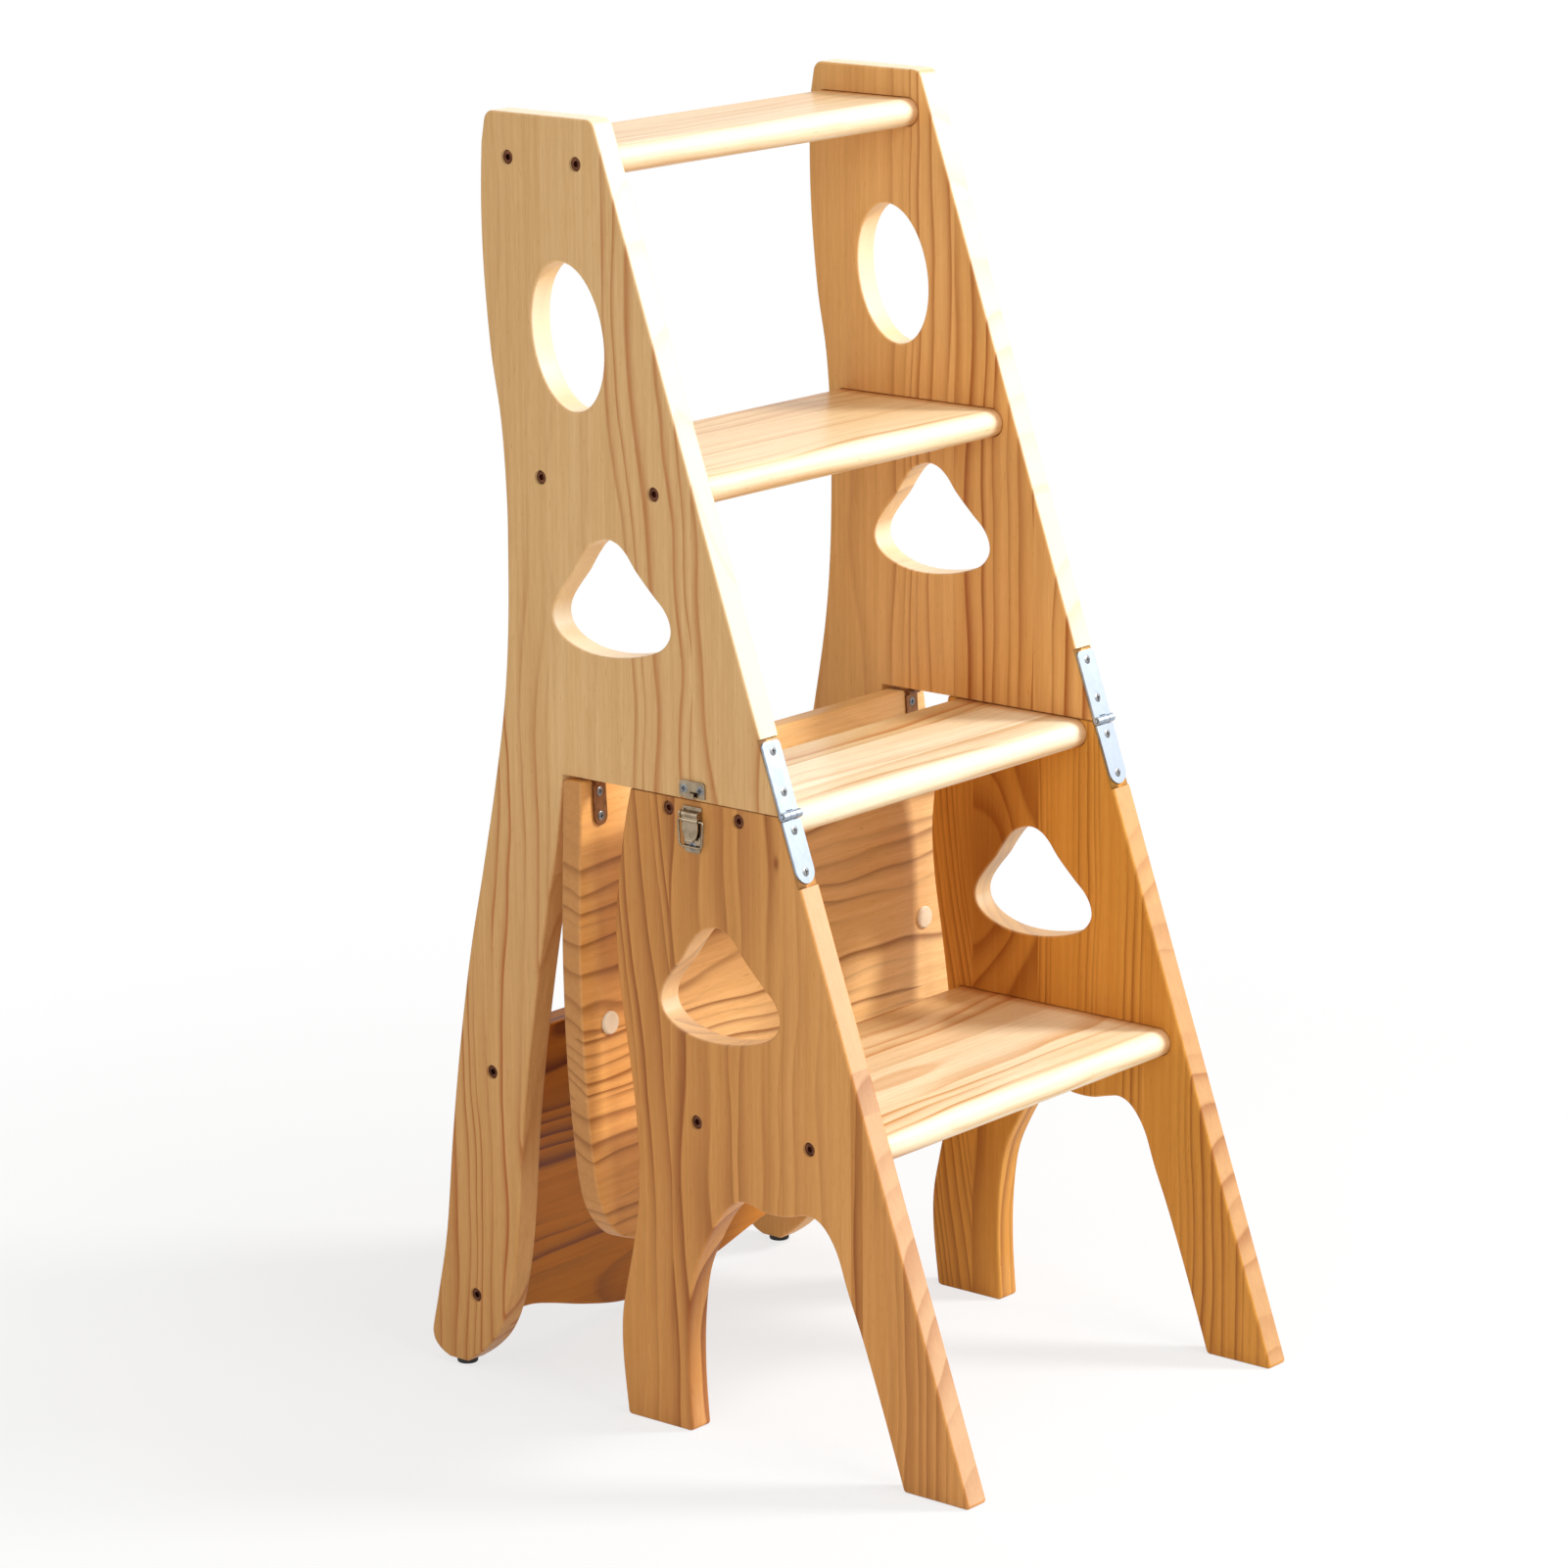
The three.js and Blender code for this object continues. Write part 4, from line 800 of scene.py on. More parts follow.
# %% Latch base
STANDOFF, LATCH_HALF, EAR_RADIUS = 3.4, 8.2, 2.8
EAR = Matrix(((0, 0, 1, 0), (0, 1, 0, 0), (1, 0, 0, 0), (0, 0, 0, 1)))


def on_face(side, up=0.0):
    return Matrix(((0, 0, side, side * HALF), (1, 0, 0, LATCH_Y), (0, 1, 0, up), (0, 0, 0, 1)))


def screw_on_face(node, plate, place, spots):
    fittings[node], heads_on[node] = screw_down(
        plate, [place @ Matrix.Translation((x * MM, y * MM, 1.3 * MM)) for x, y in spots], 1.3, 2, 11.3)


top, low, tail = 5.0, -27.0, 7.2
waist = low + 21
for name, side in SIDES:
    place = on_face(side, PIVOT)
    plate = rounded([(-LATCH_HALF, top), (-LATCH_HALF, waist), (-tail, waist), (-tail, low), (tail, low),
                     (tail, waist), (LATCH_HALF, waist), (LATCH_HALF, top)], (0.6, 0.5, 0, 3, 3, 0, 0.5, 0.6))
    base = piece_from(f"latch_plate_{name}", sheet(place, plate, near=0.3))
    ear = [(0.5, -EAR_RADIUS), *arc((STANDOFF, 0), EAR_RADIUS, -math.pi / 2, math.pi, 14), (0.5, EAR_RADIUS)]
    ears = [sheet(place @ EAR, ear, near=x, ease=0.15) for x in (-LATCH_HALF, LATCH_HALF - SHEET)]
    base = carve(carve(base, ears, "UNION"), [rod(place, 12, 1.3, out=STANDOFF)])
    screw_on_face(f"latch_base_{name}", base, place, [(0, -up) for up in BASE_SCREWS])
print("latch bases:", [len(fittings[f"latch_base_{name}"].data.polygons) for name, side in SIDES])

# %% [markdown]
# ## The lever and its pin
# The lever is a tongue of the same sheet whose edges are rolled round the pin and round the bail's wire.
# Rolled sheet could be bent with a modifier, but at this size a rod along the edge, joined on and bored,
# looks the same.

# %% Latch lever and pin
LEVER_LONG, EYE_OUT, EYE_DROP, TIP = 19, 3.1, 4.2, 10
half = LATCH_HALF - 1.3
tip = [(half / TIP * p.x, p.y) for p in arc((0, TIP - LEVER_LONG), TIP, math.pi, math.pi, 24)]
for name, side in SIDES:
    place = on_face(side, PIVOT)
    tongue = sheet(place, [(-half, 0), *tip, (half, 0)], near=STANDOFF - 0.5)
    lever = piece_from(f"latch_handle_{name}", tongue)
    rolls = [rod(place, half, 1.9, out=STANDOFF), rod(place, half, 1.6, -EYE_DROP, EYE_OUT),
             rod(place, 3, 0.9, 0.9 - LEVER_LONG, STANDOFF + 0.5, 16)]
    eyes = [rod(place, 12, 1.3, out=STANDOFF), rod(place, 12, 1.1, -EYE_DROP, EYE_OUT)]
    fittings[f"latch_lever_{name}"] = carve(carve(lever, rolls, "UNION"), eyes)
    fittings[f"latch_pin_{name}"] = axle(f"latch_axle_{name}", place, 8.5, 1, STANDOFF)
print("levers:", LEVER_LONG, "mm long")

# %% [markdown]
# ## The wire bail
# The bail is a bent wire. A curve with a round section keeps its thickness round the bends, where a mesh that
# is bent would pinch. The finished curve is made a mesh, because the object has to stay at the origin.

# %% Wire bail
WIRE, wide = 0.8, LATCH_HALF + 1.9 + 0.8
narrow, end = wide - 1.2, -EYE_DROP - 18.5
wire_path = rounded([(-wide, -EYE_DROP), (wide, -EYE_DROP), (narrow, end), (-narrow, end)], (1.6, 1.6, 3, 3))
for name, side in SIDES:
    drawn = bpy.data.curves.new("bail", "CURVE")
    drawn.dimensions, drawn.bevel_depth, drawn.bevel_resolution = "3D", WIRE * MM, 3
    spline = drawn.splines.new("POLY")
    spline.points.add(len(wire_path) - 1)
    for point, p in zip(spline.points, wire_path):
        point.co = (*(on_face(side, PIVOT) @ Vector((p.x * MM, p.y * MM, EYE_OUT * MM))), 1)
    spline.use_cyclic_u = True
    loop = add_object("bail", drawn)
    bent = bmesh.new()
    bent.from_mesh(loop.to_mesh())
    loop.to_mesh_clear()
    bpy.data.objects.remove(loop)
    bmesh.ops.remove_doubles(bent, verts=bent.verts[:], dist=1e-6)
    bmesh.ops.recalc_face_normals(bent, faces=bent.faces[:])
    fittings[f"latch_bail_{name}"] = piece_from(f"latch_wire_{name}", bent, 60)
print("bail path:", len(wire_path), "points")

# %% [markdown]
# ## The keeper
# The keeper sits on the upper frame: a small plate whose lip is turned up into a hook for the bail. The hook
# is sawn from its side view, as wide as the lip, and joined to the plate.

# %% Keeper
KEEPER_HALF, LIP = 11.25, 7
for name, side in SIDES:
    above = on_face(side, FOLD + KEEPER_LOW * MM)
    plate = rounded([(-KEEPER_HALF, 0), (KEEPER_HALF, 0), (KEEPER_HALF, 11.5), (-KEEPER_HALF, 11.5)],
                    (0.5, 0.5, 3, 3))
    hook = ((0.5, 0), (4.2, 0), (4.2, 3.6), (3.2, 3.6), (3.2, 1), (0.5, 1))
    catch = carve(piece_from(f"latch_catch_{name}", sheet(above, plate, near=0.3)),
                  [sheet(above @ EAR, hook, near=-LIP / 2, thick=LIP, ease=0.15)], "UNION")
    screw_on_face(f"latch_keeper_{name}", catch, above, [(s * KEEPER_SCREW, KEEPER_MID) for s in (-1, 1)])
print("fittings:", len(fittings))

# %% [markdown]
# ## Pads and glides
# The flap's round pads keep it off the hinge barrels when the chair is folded, and the rubber glides save the
# floor. Both are moulded, so their edges are rounded, and both are round, so we turn them.

# %% Pads and glides
GLIDE_TOP = TOE_LINE[0].y / MM - 0.3
pad_thick = (FOLD_AXIS.z - SEAT_AXIS.z) / MM - 0.6
for name, side in SIDES:
    fittings[f"rear_glide_{name}"] = piece_from(f"foot_pad_{name}", turned([
        (0, 0), (6.4, 0), (7.1, 0.25), (7.45, 0.8), (7.5, 1.4), (7.5, GLIDE_TOP - 0.4), (7.1, GLIDE_TOP),
        (1.6, GLIDE_TOP), (1.6, GLIDE_TOP + 14), (0, GLIDE_TOP + 14)],
        Matrix.Translation((side * MIDDLE, GLIDE_Y, 0)), 36))
    seat_at = hang @ Matrix.Translation(
        (side * MIDDLE, 2.7 * MM - pad_thick * MM, FOLD_AXIS.y - SEAT_AXIS.y)) @ SCREW_FACE
    fittings[f"seat_pad_{name}"] = piece_from(f"flap_pad_{name}", turned([
        (0, 0), (6.6, 0), (7.5, -0.25), (8.05, -0.8), (8.2, -1.6), (8.2, -pad_thick), (0, -pad_thick)],
        seat_at, 36))
print("pad thickness in mm:", round(pad_thick, 2))

# %% [markdown]
# ## Calculating with shader nodes
# A finish is a small program of nodes. Written out node by node it is hard to read, so one small class wraps
# a socket and lets us write sums with it, such as 1 - mask. Each sum still adds its own Math node. Every
# other node comes from one method, which sets the node's settings first and then its sockets.

# %% A socket that can be calculated with
class Wire:
    def __init__(self, tree, socket=None):
        self.tree, self.socket = tree, socket

    def node(self, kind, settings=None, sockets=None, out=0):
        made = self.tree.nodes.new(kind)
        for name, value in (settings or {}).items():
            if name == "stops":
                stops = made.color_ramp.elements
                while len(stops) < len(value):
                    stops.new(0.5)
                for stop, (where, colour) in zip(stops, value):
                    stop.position, stop.color = where, (*colour, 1) if len(colour) == 3 else colour
            elif name == "steps":
                made.color_ramp.interpolation = value
            else:
                setattr(made, name, value)
        for name, value in (sockets or {}).items():
            if isinstance(value, Wire):
                self.tree.links.new(value.socket, made.inputs[name])
            else:
                made.inputs[name].default_value = value
        return Wire(self.tree, made.outputs[out] if made.outputs else None)

    def outputs(self):
        return [Wire(self.tree, socket) for socket in self.socket.node.outputs]

    def maths(self, operation, a, b=0.0):
        return self.node("ShaderNodeMath", {"operation": operation}, {0: a, 1: b})

    def __add__(self, other): return self.maths("ADD", self, other)
    def __radd__(self, other): return self.maths("ADD", other, self)
    def __sub__(self, other): return self.maths("SUBTRACT", self, other)
    def __rsub__(self, other): return self.maths("SUBTRACT", other, self)
    def __mul__(self, other): return self.maths("MULTIPLY", self, other)
    def __rmul__(self, other): return self.maths("MULTIPLY", other, self)
    def __truediv__(self, other): return self.maths("DIVIDE", self, other)
    def __rtruediv__(self, other): return self.maths("DIVIDE", other, self)
    def __pow__(self, other): return self.maths("POWER", self, other)
    def __rpow__(self, other): return self.maths("POWER", other, self)

    def between(self, low, high, start=0.0, end=1.0):
        return self.node("ShaderNodeMapRange", {"interpolation_type": "SMOOTHSTEP"},
                         {0: self, 1: low, 2: high, 3: start, 4: end})

    def noise(self, at, scale=1.0, detail=2.0, rough=0.5):
        return self.node("ShaderNodeTexNoise", {}, {"Vector": at, "Scale": scale, "Detail": detail,
                                                    "Roughness": rough})

    def vector(self, x, y, z):
        return self.node("ShaderNodeCombineXYZ", {}, {0: x, 1: y, 2: z})

    def mark(self, name):
        return self.node("ShaderNodeAttribute", {"attribute_name": name}, out=2)

    def blend(self, amount, a, b, kind="MIX"):
        settings = {"data_type": "RGBA", "blend_type": kind}
        return self.node("ShaderNodeMix", settings, {0: amount, 6: a, 7: b}, out=2)


def new_finish(name):
    finish = bpy.data.materials.new(name)
    finish.use_nodes = True
    finish.node_tree.nodes.clear()
    return finish, Wire(finish.node_tree)


def close_finish(wire, surface):
    wire.node("ShaderNodeOutputMaterial", {}, {"Surface": surface})


def dress(piece, finish):
    piece.data.materials.clear()
    piece.data.materials.append(finish)


def linear(*shades):
    """A colour as a paint program shows it, from 0 to 255, turned into the light that a shader works with."""
    return (*(v / 255 / 12.92 if v <= 10 else ((v / 255 + 0.055) / 1.055) ** 2.4 for v in shades), 1.0)


print("shader helper ready")

# %% [markdown]
# ## Varnished pine
# Pine boards are glued from narrow staves, and each stave shows its own cut through the tree's yearly rings.
# Straight lines mean that it was sawn towards the pith, and tall arches that it was sawn beside it. A picture
# of wood would look the same on every face and would not run round the edges. So we keep the rings as rings:
# for each stave a small table gives where the pith lies, how much the tree leans and how dark the stave is,
# and the distance from the pith gives the ring. The pattern is solid, so faces, edges and holes agree.
#
# A shader has no tables, but a colour ramp that jumps at each stop serves as one: its red, green, blue and
# alpha hold four numbers for each stave, as shares of their ranges.

# %% A table of staves as colour ramps
PITH_ACROSS, PITH_DEEP, LEAN, RING_WIDTH, TONE, LAST_STAVE = 800, 200, 0.2, 40, 2, 150


def share(value, low, high):
    return min(max((value - low) / (high - low), 0.0), 1.0)


def spread(value, reach):
    return value * (2 * reach) - reach


def stave_table(wire, cross, staves):
    """A stave is a row of start, pith across, pith depth, lean across, lean in depth, ring width, tone and
    strength of the late wood, in millimetres and shares. Each stave also gets a seed."""
    low, high = staves[0][0], staves[-1][0] + LAST_STAVE
    position = (cross - low) / (high - low)
    starts, pith, habit = [], [], []
    for i, (start, across, deep, lean_across, lean_deep, ring, tone, strength) in enumerate(staves):
        starts.append(share(start, low, high))
        pith.append((share(across, -PITH_ACROSS, PITH_ACROSS), share(deep, -PITH_DEEP, PITH_DEEP),
                     share(lean_across, -LEAN, LEAN), share(ring, 0, RING_WIDTH)))
        habit.append((share(lean_deep, -LEAN, LEAN), share(tone, 0, TONE), i * 37 % 11 / 11,
                      share(strength, 0, 1)))
    numbers = []
    for rows in (pith, habit):
        settings = {"stops": list(zip(starts, rows)), "steps": "CONSTANT"}
        colour, alpha = wire.node("ShaderNodeValToRGB", settings, {0: position}).outputs()
        numbers += [*wire.node("ShaderNodeSeparateColor", {}, {0: colour}).outputs(), alpha]
    across, deep, lean_across, ring, lean_deep, tone, seed, strength = numbers
    return (spread(across, PITH_ACROSS), spread(deep, PITH_DEEP), spread(lean_across, LEAN),
            spread(lean_deep, LEAN), ring * RING_WIDTH, tone * TONE, seed, strength)


print("stave tables ready")

# %% [markdown]
# ## The rings and their late wood
# The distance from the pith, divided by the ring's width, counts the years, and its fraction is the season:
# pale early wood, and a dark line of late wood at the end. A noise that is stretched along the grain lets the
# rings sway, a second one makes the years uneven, and a knot pushes the rings aside.

# %% Growth rings
SWAY, UNEVEN, YEARS = 2.2, 1.7, 0.31


def near_knot(wire, cross, along, knot, squash, sharp):
    a, b = cross - knot[0], (along - knot[1]) * squash
    return wire.maths("EXPONENT", (a * a + b * b) * (-sharp / (knot[2] * knot[2])))


def late_wood(wire, at, staves, wide, knots, waves):
    """Gives the share of late wood, and the tone and the seed of the stave."""
    cross, along, deep = at
    (pith_across, pith_deep, lean_across, lean_deep,
     ring, tone, seed, strength) = stave_table(wire, cross, staves)
    sway = wire.noise(wire.vector(cross * 0.012 + seed * 9, along * 0.0045, deep * 0.012)) - 0.5
    side, depth = cross - pith_across - lean_across * along, deep - pith_deep - lean_deep * along
    turns = (side * side + depth * depth) ** 0.5 / ring + sway * (SWAY * waves)
    for knot in knots:
        turns = turns + near_knot(wire, cross, along, knot, 0.5, 1) * knot[3]
    uneven = wire.node("ShaderNodeTexNoise", {"noise_dimensions": "1D"},
                       {"W": turns * 0.37 + seed * 31, "Scale": 1.0, "Detail": 1.0})
    turns = turns + (uneven - 0.5) * UNEVEN
    season = {"stops": [(where, (dark,) * 3) for where, dark in (
        (0.0, 0.45), (0.05, 0.06), (0.9 - 2 * wide, 0.0), (0.93 - wide, 0.3), (0.9, 0.9), (0.96, 1.0),
        (1.0, 0.5))]}
    band = wire.node("ShaderNodeValToRGB", season, {0: wire.maths("FRACT", turns)})
    strong = wire.noise(wire.vector(turns * YEARS, seed * 17, along * 0.002))
    return band * strong.between(0.36, 0.62, 0.08, 1.0) * strength, tone, seed


print("growth rings ready")

# %% [markdown]
# ## From the rings to a surface
# Over the rings lie the fibres, darker streaks and small pockets of resin, all long and thin along the grain.
# Some boards are tinted golden towards one end, and on the flap's left end that golden band is painted shade.
# The faces that look towards the lamps, the top and front edges and the treads' noses, get a painted highlight
# in a pale colour, and the hole walls get painted light, while the flap's ends show their darker end grain. A
# tread gets painted shade towards its back and where it meets the panels. So a few tints lie over the wood:
# each is a colour that is blended in where a ramp along the board or a mark on the faces allows it.

# %% The varnished surface
# Painted light: a cream highlight for the faces that look towards the lamps, and a pale light for the hole
# walls. REAR_SHADE and JOINT_SHADE are painted shade on the treads. GOLDEN is painted shade on the flap's left
# end, and a golden tint at the foot of the upper panels.
HIGHLIGHT_CREAM, HOLE_WALL_LIGHT = linear(255, 243, 224), linear(255, 242, 204)
GOLDEN, REAR_SHADE, JOINT_SHADE = (0.93, 0.72, 0.45, 1), (0.84, 0.6, 0.34, 1), (0.7, 0.4, 0.16, 1)


def pine(name, axes, middle, staves, early, late, wide=0.3, knots=(), waves=1.0, edge=None, warm=None,
         rear=None, bore=0.0, calm=0.5, coat=0.12):
    """axes: which of x, y, z runs across the staves, along the grain and through the board.
    middle: the board's middle in that last direction. wide: the late wood's share of a ring.
    knots: place across and along, size and turns of each. waves: how far the rings sway.
    edge: colour and strength on the marked faces, and from where along the grain. On the side panels and
    treads it is a painted highlight on the faces that look towards the lamps; on the flap, its darker end
    grain.
    warm: strength of the golden tint, and between which places it fades out along the grain; on the flap it is
    painted shade.
    rear: between which places a tread gets painted shade towards its back, and how much; such a tread also
    gets painted shade where it meets the panels.
    bore: strength of the painted light on the hole walls. calm: how far the rings fade on the marked faces,
    which on the lit faces is part of the painted highlight."""
    finish, wire = new_finish(name)
    parts = wire.node("ShaderNodeSeparateXYZ", {}, {0: wire.node("ShaderNodeTexCoord", out=3)}).outputs()
    cross, along, deep = (parts["xyz".index(letter)] * 1000 for letter in axes)
    deep, sawn = deep - middle, wire.mark("sawn")
    band, tone, seed = late_wood(wire, (cross, along, deep), staves, wide, knots, waves)
    # On the marked faces the rings fade: on the faces that look towards the lamps as part of the painted
    # highlight, on the flap's end grain a little.
    band = band * (1 - sawn * calm)

    def lengthways(fine, long, detail, rough=0.5, move=0.0):
        return wire.noise(wire.vector(cross * fine + move, along * long, deep * fine), 1.0, detail, rough)

    fibre, streak = lengthways(1.5, 0.05, 4.0, 0.65), lengthways(0.28, 0.005, 3.0, 0.6, seed * 5)
    resin, pores = lengthways(0.9, 0.09, 1.0).between(0.70, 0.76), fibre.between(0.35, 0.65)
    colour = wire.blend(band, early, late)
    for knot in knots:
        heart = (late[0] * 0.8, late[1] * 0.7, late[2] * 0.6, 1)
        colour = wire.blend(near_knot(wire, cross, along, knot, 0.4, 2) * 0.6, colour, heart)
    light = tone * streak.between(0.25, 0.75, 0.92, 1.05) * (0.95 + pores * 0.09) * (1 - resin * 0.2)
    shade = wire.node("ShaderNodeCombineColor", {}, {0: light ** 0.75, 1: light ** 1.2, 2: light ** 2.0})
    colour = wire.blend(1.0, colour, shade, "MULTIPLY")
    # A golden tint along the grain: at the foot of the upper panels, and at the flap's left end, where it is
    # painted shade.
    if warm:
        colour = wire.blend(along.between(warm[1], warm[2], warm[0], 0.0), colour, GOLDEN, "MULTIPLY")
    # Painted shade towards the back of a tread, stronger towards its right end.
    if rear:
        inner = cross.between(rear[0], rear[1]) * along.between(-60, 200, 0.45, 1.0)
        colour = wire.blend(inner * rear[2], colour, REAR_SHADE, "MULTIPLY")
    # A pale colour over the marked faces is a painted highlight on the faces that look towards the lamps; on
    # the flap the colour is its darker end grain.
    if edge:
        cover = edge[1] * (1 - band * 0.8)
        colour = wire.blend(sawn * cover * along.between(edge[2] - 20, edge[2] + 20), colour, edge[0])
    # Painted light: the walls of the holes are made paler.
    if bore:
        colour = wire.blend(wire.mark("bored") * bore, colour, HOLE_WALL_LIGHT)
    # Painted shade where the ends of a tread meet the panels.
    if rear:
        joint = wire.maths("ABSOLUTE", along).between(150, 166)
        colour = wire.blend(joint * 0.9, colour, JOINT_SHADE, "MULTIPLY")
    relief = wire.node("ShaderNodeBump", {}, {"Strength": 0.16, "Distance": 0.0004,
                                              "Height": fibre * 0.5 + band * 0.6 - resin * 0.3})
    surface = wire.node("ShaderNodeBsdfPrincipled", {}, {
        "Base Color": colour, "Roughness": 0.46 - band * 0.1 + (1 - pores) * 0.05, "IOR": 1.45,
        "Specular IOR Level": 0.22, "Coat Weight": coat, "Coat Roughness": 0.24, "Coat IOR": 1.5,
        "Normal": relief})
    close_finish(wire, surface)
    return finish


print("pine finish ready")

# %% [markdown]
# ## Which stave lies where
# A joiner who glues a panel turns and swaps the staves until it looks right, and no two panels come out
# alike. One random table would give every board the same look. So each board has its own rows: a quiet stave
# has its pith far off to one side and so shows straight lines, a lively one has it just behind the face.

# %% Staves of each board
# In these rows the edge tints of the side panels are painted highlights, the flap's edge tint is its end
# grain, and the flap's golden tint is painted shade. The upper left panel's last stave, at the rear edge, is a
# little darker as painted shade.
FINISH_OF = {
    "upper_side_left": pine("pine_upper_left", "yzx", -175, [
        (-260, -330, 60, 0.0, 0.02, 14, 0.98, 0.4), (-88, 44, 26, 0.04, 0.05, 17, 1.0, 0.65),
        (-10, -96, -24, 0.05, 0.03, 14, 1.0, 0.7), (66, 300, 90, 0.0, 0.02, 34, 1.05, 0.3),
        (118, 330, 30, -0.03, 0.02, 15, 0.98, 0.95), (176, 420, 60, 0.0, 0.0, 10, 0.93, 0.9)],
        linear(235, 190, 131), linear(190, 106, 44), wide=0.2, waves=1.4, edge=(HIGHLIGHT_CREAM, 0.6, 462),
        warm=(0.6, 40, 560), bore=0.25),
    "lower_side_left": pine("pine_lower_left", "yzx", -175, [
        (-260, -420, 50, 0.0, 0.02, 8, 0.92, 0.6), (-154, -300, 10, 0.0, 0.0, 9, 0.78, 0.9),
        (-143, -420, 70, 0.0, 0.0, 16, 1.03, 0.35), (-84, -230, 40, 0.0, 0.03, 16, 0.98, 0.9),
        (-43, 150, 90, 0.01, 0.03, 17, 0.95, 0.85), (13, 64, 34, 0.11, -0.12, 10, 0.93, 0.85)],
        linear(226, 162, 92), linear(150, 74, 20), wide=0.5, knots=[(-80, 418, 2.4, 0.4)],
        edge=(linear(206, 196, 182), 0.35, -100), bore=0.34, calm=0.1),
    "upper_side_right": pine("pine_upper_right", "yzx", 175, [
        (-260, -420, 40, 0.0, 0.0, 13, 0.93, 1.0), (-30, -300, -60, 0.0, 0.02, 12, 0.88, 1.0),
        (42, 420, 30, 0.0, 0.01, 11, 1.0, 0.75), (113, -420, 110, 0.0, 0.02, 30, 0.97, 0.3)],
        linear(240, 186, 116), linear(176, 100, 40), wide=0.26, edge=(HIGHLIGHT_CREAM, 0.58, 462), warm=(0.3, 40, 560),
        bore=0.25),
    "lower_side_right": pine("pine_lower_right", "yzx", 175, [
        (-260, -600, 20, 0.0, 0.0, 7, 0.9, 0.8), (-130, -500, 20, 0.0, 0.0, 6, 1.0, 0.7),
        (-36, -30, 64, 0.02, 0.02, 13, 0.94, 0.7), (24, 240, 20, 0.16, 0.0, 6, 1.0, 0.7)],
        linear(222, 158, 70), linear(150, 78, 22), wide=0.32, knots=[(8, 326, 44, 2.6)],
        edge=(linear(180, 166, 154), 0.35, -100), bore=0.34, calm=0.1),
    "back_panel": pine("pine_back", "zxy", 178, [
        (0, 20, -60, 0.02, 0.03, 10, 1.0, 1.0), (60, 130, 60, 0.0, 0.02, 12, 0.92, 1.0),
        (130, 240, -90, 0.01, 0.02, 10, 1.0, 1.0)], linear(212, 134, 38), linear(124, 60, 12), wide=0.34),
    "seat_flap": pine("pine_flap", "zxy", 97, [
        (80, -200, 60, 0.0, 0.04, 11, 1.0, 0.7), (152, -60, 80, 0.02, 0.05, 15, 0.95, 0.75),
        (226, 90, 70, 0.01, 0.06, 10, 1.01, 0.8), (270, 40, 80, 0.0, 0.05, 17, 0.96, 0.75),
        (342, 160, 70, 0.01, 0.06, 11, 1.0, 0.75), (392, 200, 90, 0.0, 0.05, 22, 1.0, 0.45)],
        linear(237, 190, 128), linear(132, 70, 24), wide=0.24, waves=1.6,
        edge=(linear(176, 116, 78), 0.4, -400), warm=(0.85, -165, -125), calm=0.1),
}
# Treads: their pale colours are partly the wood and partly painted light on their brightly lit tops. The
# darker last staves of the two lowest treads are painted shade at their backs, and the spans say where each
# tread gets painted shade towards its back.
REAR_SHADE_SPANS, REAR_SHADE_STRENGTH = [(-110, 20), (-80, 30), (-20, 120), (60, 200)], 0.8
for i, (rows, colour) in enumerate((
        ([(-190, -330, 40, 0.03, 0.0, 12, 0.97, 1.0), (-112, -70, 40, 0.06, 0.02, 14, 1.03, 0.9),
          (-50, 120, 80, 0.01, 0.0, 18, 0.96, 0.8), (8, 200, 30, 0.0, 0.0, 12, 0.8, 1.0)], (243, 224, 188)),
        ([(-110, -250, 60, 0.0, 0.0, 15, 0.92, 1.0), (-44, 90, 60, 0.0, 0.02, 22, 1.04, 0.5),
          (4, 160, 40, 0.01, 0.0, 14, 0.82, 1.0)], (243, 231, 203)),
        ([(-30, -250, 60, 0.0, 0.0, 14, 0.97, 0.8), (48, 160, 60, 0.01, 0.02, 18, 1.0, 0.6),
          (100, 300, 40, 0.0, 0.0, 16, 0.97, 0.6)], (240, 220, 182)),
        ([(50, -150, 60, 0.0, 0.0, 15, 0.98, 0.6), (130, 260, 60, 0.02, 0.02, 16, 1.0, 0.5)],
         (233, 208, 170)))):
    FINISH_OF[f"step_{i + 1}"] = pine(
        f"pine_tread_{i + 1}", "yxz", TREADS[i][1].y / MM, rows, linear(*colour), linear(204, 142, 70),
        wide=0.28, edge=(HIGHLIGHT_CREAM, 0.5, -400), rear=(*REAR_SHADE_SPANS[i], REAR_SHADE_STRENGTH), coat=0.4)
for node, finish in FINISH_OF.items():
    dress(wood_pieces[node], finish)
print("finishes on", len(FINISH_OF), "boards")

# %% [markdown]
# ## Metal and rubber
# The strap hinges are zinc-plated, the latches nickel, the connecting screws and small hinges dark bronze, the
# small screws steel, and the feet rubber. Each has fine wear that a single colour lacks, so a noise moves its
# roughness and tint a little.

# %% Metal and rubber finishes
BLOTCHES, SPECKS = 150, 1800


def metal(name, bright, dull, rough, wear=0.5, metallic=1.0, bump=0.05):
    finish, wire = new_finish(name)
    place = wire.node("ShaderNodeTexCoord", out=3)
    speck = wire.noise(place, SPECKS)
    mixed = wire.noise(place, BLOTCHES, 3.0).between(0.35, 0.7) * (wear * 0.7) + speck * (wear * 0.3)
    relief = wire.node("ShaderNodeBump", {}, {"Strength": bump, "Distance": 0.0002, "Height": speck})
    surface = wire.node("ShaderNodeBsdfPrincipled", {}, {
        "Base Color": wire.blend(mixed, bright, dull), "Metallic": metallic,
        "Roughness": rough + mixed * 0.18, "Normal": relief})
    close_finish(wire, surface)
    return finish


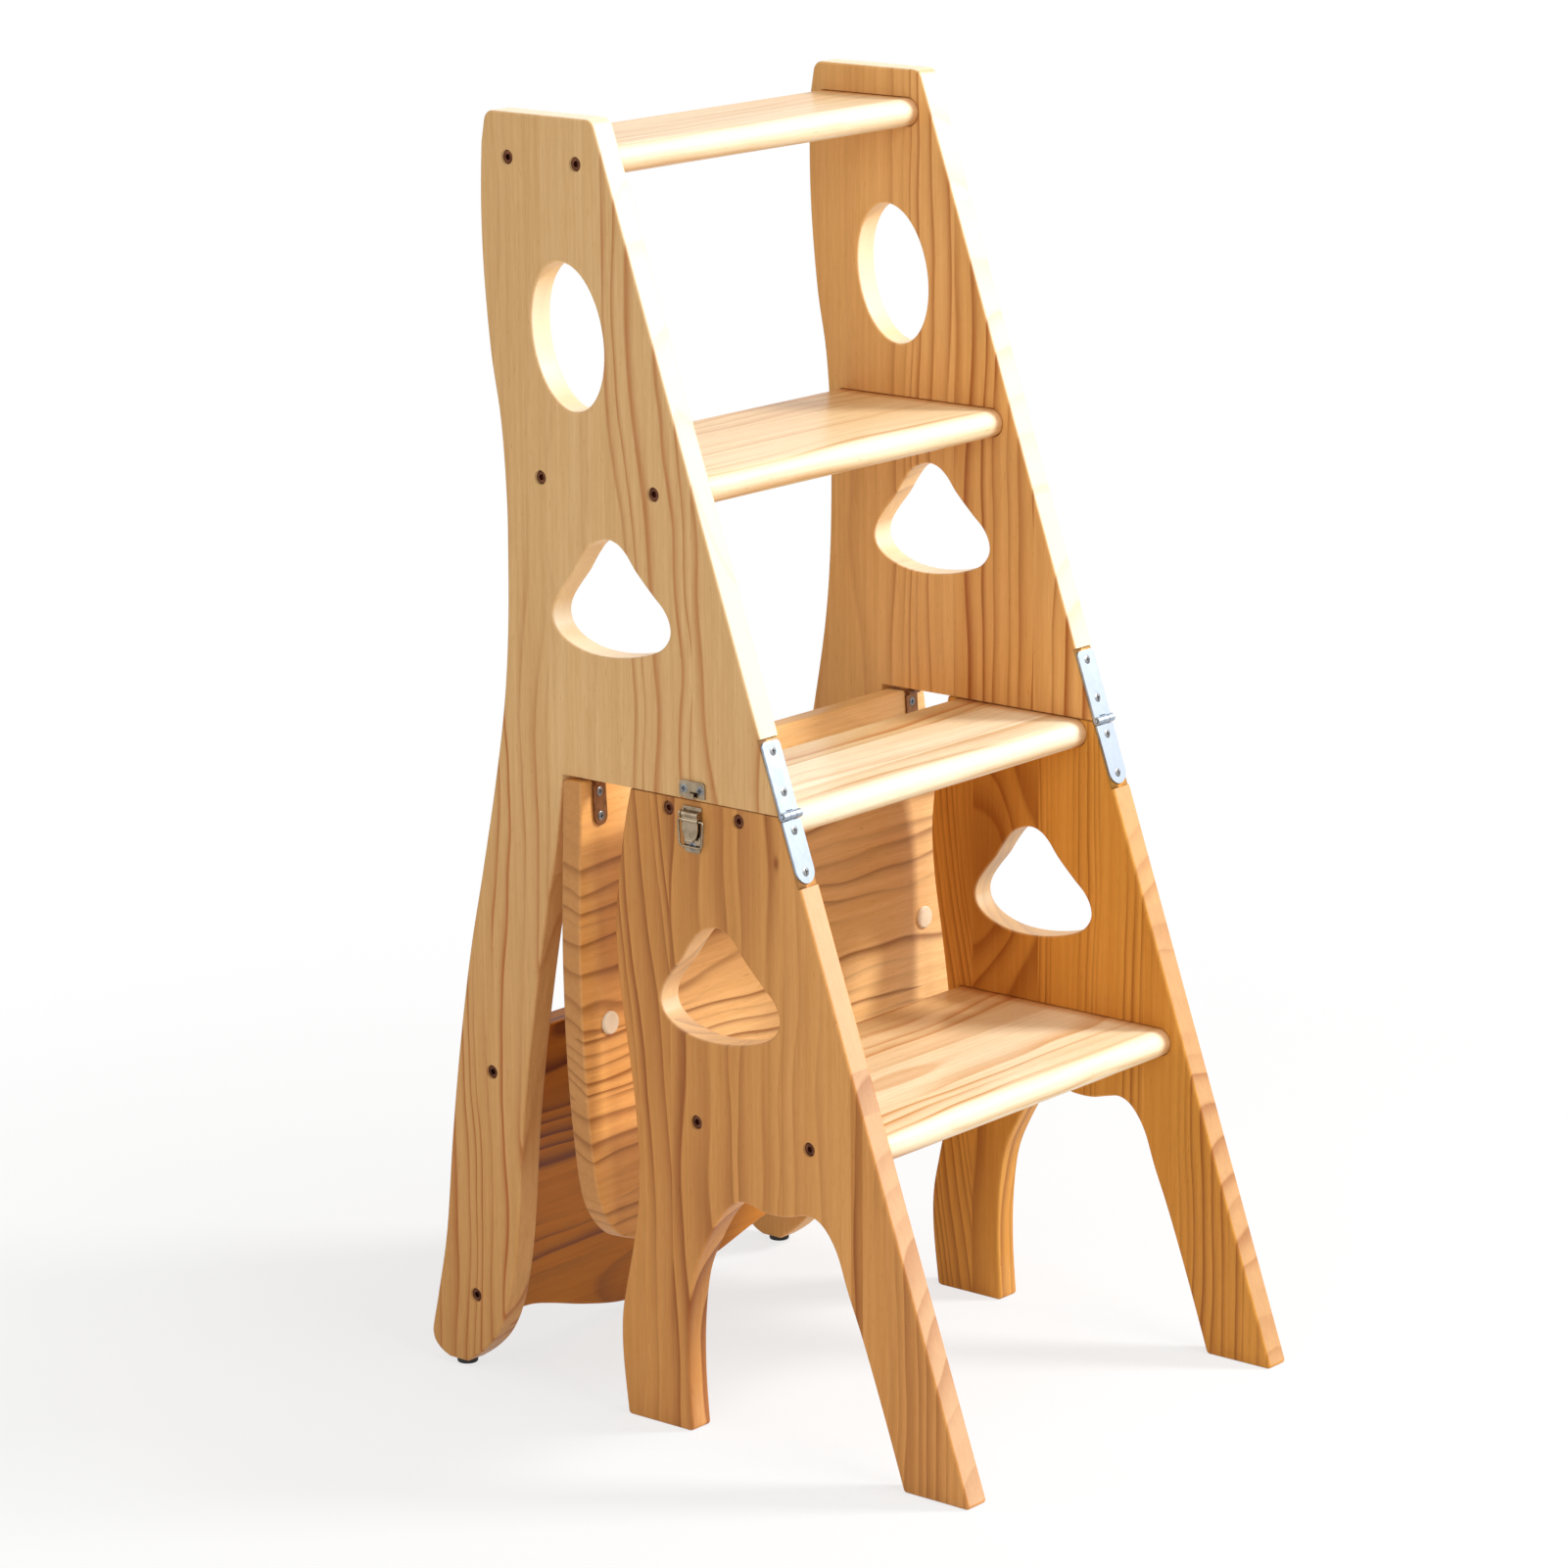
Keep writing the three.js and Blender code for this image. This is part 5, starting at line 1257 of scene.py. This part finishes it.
METALS = {
    "zinc_strap": metal("zinc_strap", linear(169, 178, 189), linear(136, 146, 159), 0.42),
    "steel_screw": metal("steel_screw", linear(150, 150, 150), linear(96, 96, 98), 0.32, 0.7),
    # The nickel's dark brown tint is partly the metal and partly painted reflection of the wood around the
    # latch.
    "nickel": metal("nickel", linear(168, 150, 126), linear(104, 88, 68), 0.2, 0.6),
    "bronze_screw": metal("bronze_screw", linear(116, 74, 54), linear(64, 38, 28), 0.34, 0.9),
    "bronze_leaf": metal("bronze_leaf", linear(150, 102, 66), linear(100, 64, 42), 0.36, 0.8),
    "rubber": metal("rubber", linear(34, 32, 30), linear(22, 21, 20), 0.62, 0.7, 0.0, bump=0.15),
    "pale_rubber": metal("pale_rubber", linear(238, 220, 190), linear(220, 198, 164), 0.5, 0.6, 0.0, bump=0.1),
}
SLOT_BY_WORD = {"_screw_": "bronze_screw", "glide": "rubber", "pad": "pale_rubber", "strap": "zinc_strap",
                "latch": "nickel", "": "bronze_leaf"}
for node, piece in fittings.items():
    slot = next(slot for word, slot in SLOT_BY_WORD.items() if word in node)
    stands_for(piece, node)
    dress(piece, METALS[slot])
for node, heads in heads_on.items():
    even_shading(heads)
    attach(heads, frame["nodes"][node]["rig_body"])
    dress(heads, METALS["steel_screw"])
print("finishes on", len(fittings), "fittings and", len(heads_on), "groups of small screws")

# %% [markdown]
# ## The studio
# The photograph was made in even daylight from the front right, on white. We use one strong lamp there, four
# weaker ones around the chair, and a white world. The floor must look white and still keep the shadow, so it
# answers the camera with a mix of its own white and the light that falls on it.

# %% Floor and world
def seen_white(wire):
    """1 where the camera looks at it straight, in a mirror or through glass."""
    path = wire.node("ShaderNodeLightPath").outputs()
    return wire.maths("MAXIMUM", path[0], wire.maths("MAXIMUM", path[3], path[6]))


floor_mesh = bmesh.new()
bmesh.ops.create_grid(floor_mesh, x_segments=1, y_segments=1, size=14)
floor = piece_from("floor", floor_mesh)
finish, wire = new_finish("studio_floor")
matt = wire.node("ShaderNodeBsdfDiffuse", {}, {"Color": (0.8, 0.8, 0.8, 1)})
glow = wire.node("ShaderNodeEmission", {}, {"Color": (1, 1, 1, 1), "Strength": 1.0})
place = wire.node("ShaderNodeTexCoord", out=3)
away = wire.node("ShaderNodeVectorMath", {"operation": "LENGTH"}, {0: place}, out=1)
share_white = seen_white(wire) * away.between(0.3, 1.3, 0.74, 1.0)
close_finish(wire, wire.node("ShaderNodeMixShader", {}, {0: share_white, 1: matt, 2: glow}))
dress(floor, finish)

sky = bpy.data.worlds.new("studio")
sky.use_nodes = True
sky.node_tree.nodes.clear()
wire = Wire(sky.node_tree)
dim = wire.node("ShaderNodeBackground", {}, {"Color": (1, 0.93, 0.82, 1), "Strength": 0.18})
white = wire.node("ShaderNodeBackground", {}, {"Color": (1, 1, 1, 1), "Strength": 1.0})
mixed = wire.node("ShaderNodeMixShader", {}, {0: seen_white(wire), 1: dim, 2: white})
wire.node("ShaderNodeOutputWorld", {}, {"Surface": mixed})
bpy.context.scene.world = sky
print("floor and world ready")

# %% Lamps
AIM = Vector((0, 0, 0.45))
for name, at, size, watts in (
        ("window", (2.15, -2.2, 2.5), 0.8, 140), ("front", (-0.2, -2.6, 3.0), 1.6, 46),
        ("left", (-2.7, -1.5, 1.3), 2.6, 24), ("top", (0.0, 0.0, 3.2), 2.0, 19),
        ("rear", (-2.4, 1.8, 1.6), 1.6, 9)):
    light = bpy.data.lights.new(name, "AREA")
    light.energy, light.size = watts, size
    aim = (AIM - Vector(at)).to_track_quat("-Z", "Y").to_matrix().to_4x4()
    add_object(name, light).matrix_world = Matrix.Translation(at) @ aim
bpy.context.scene.view_settings.view_transform = "Standard"
print("lamps:", len(bpy.data.lights))
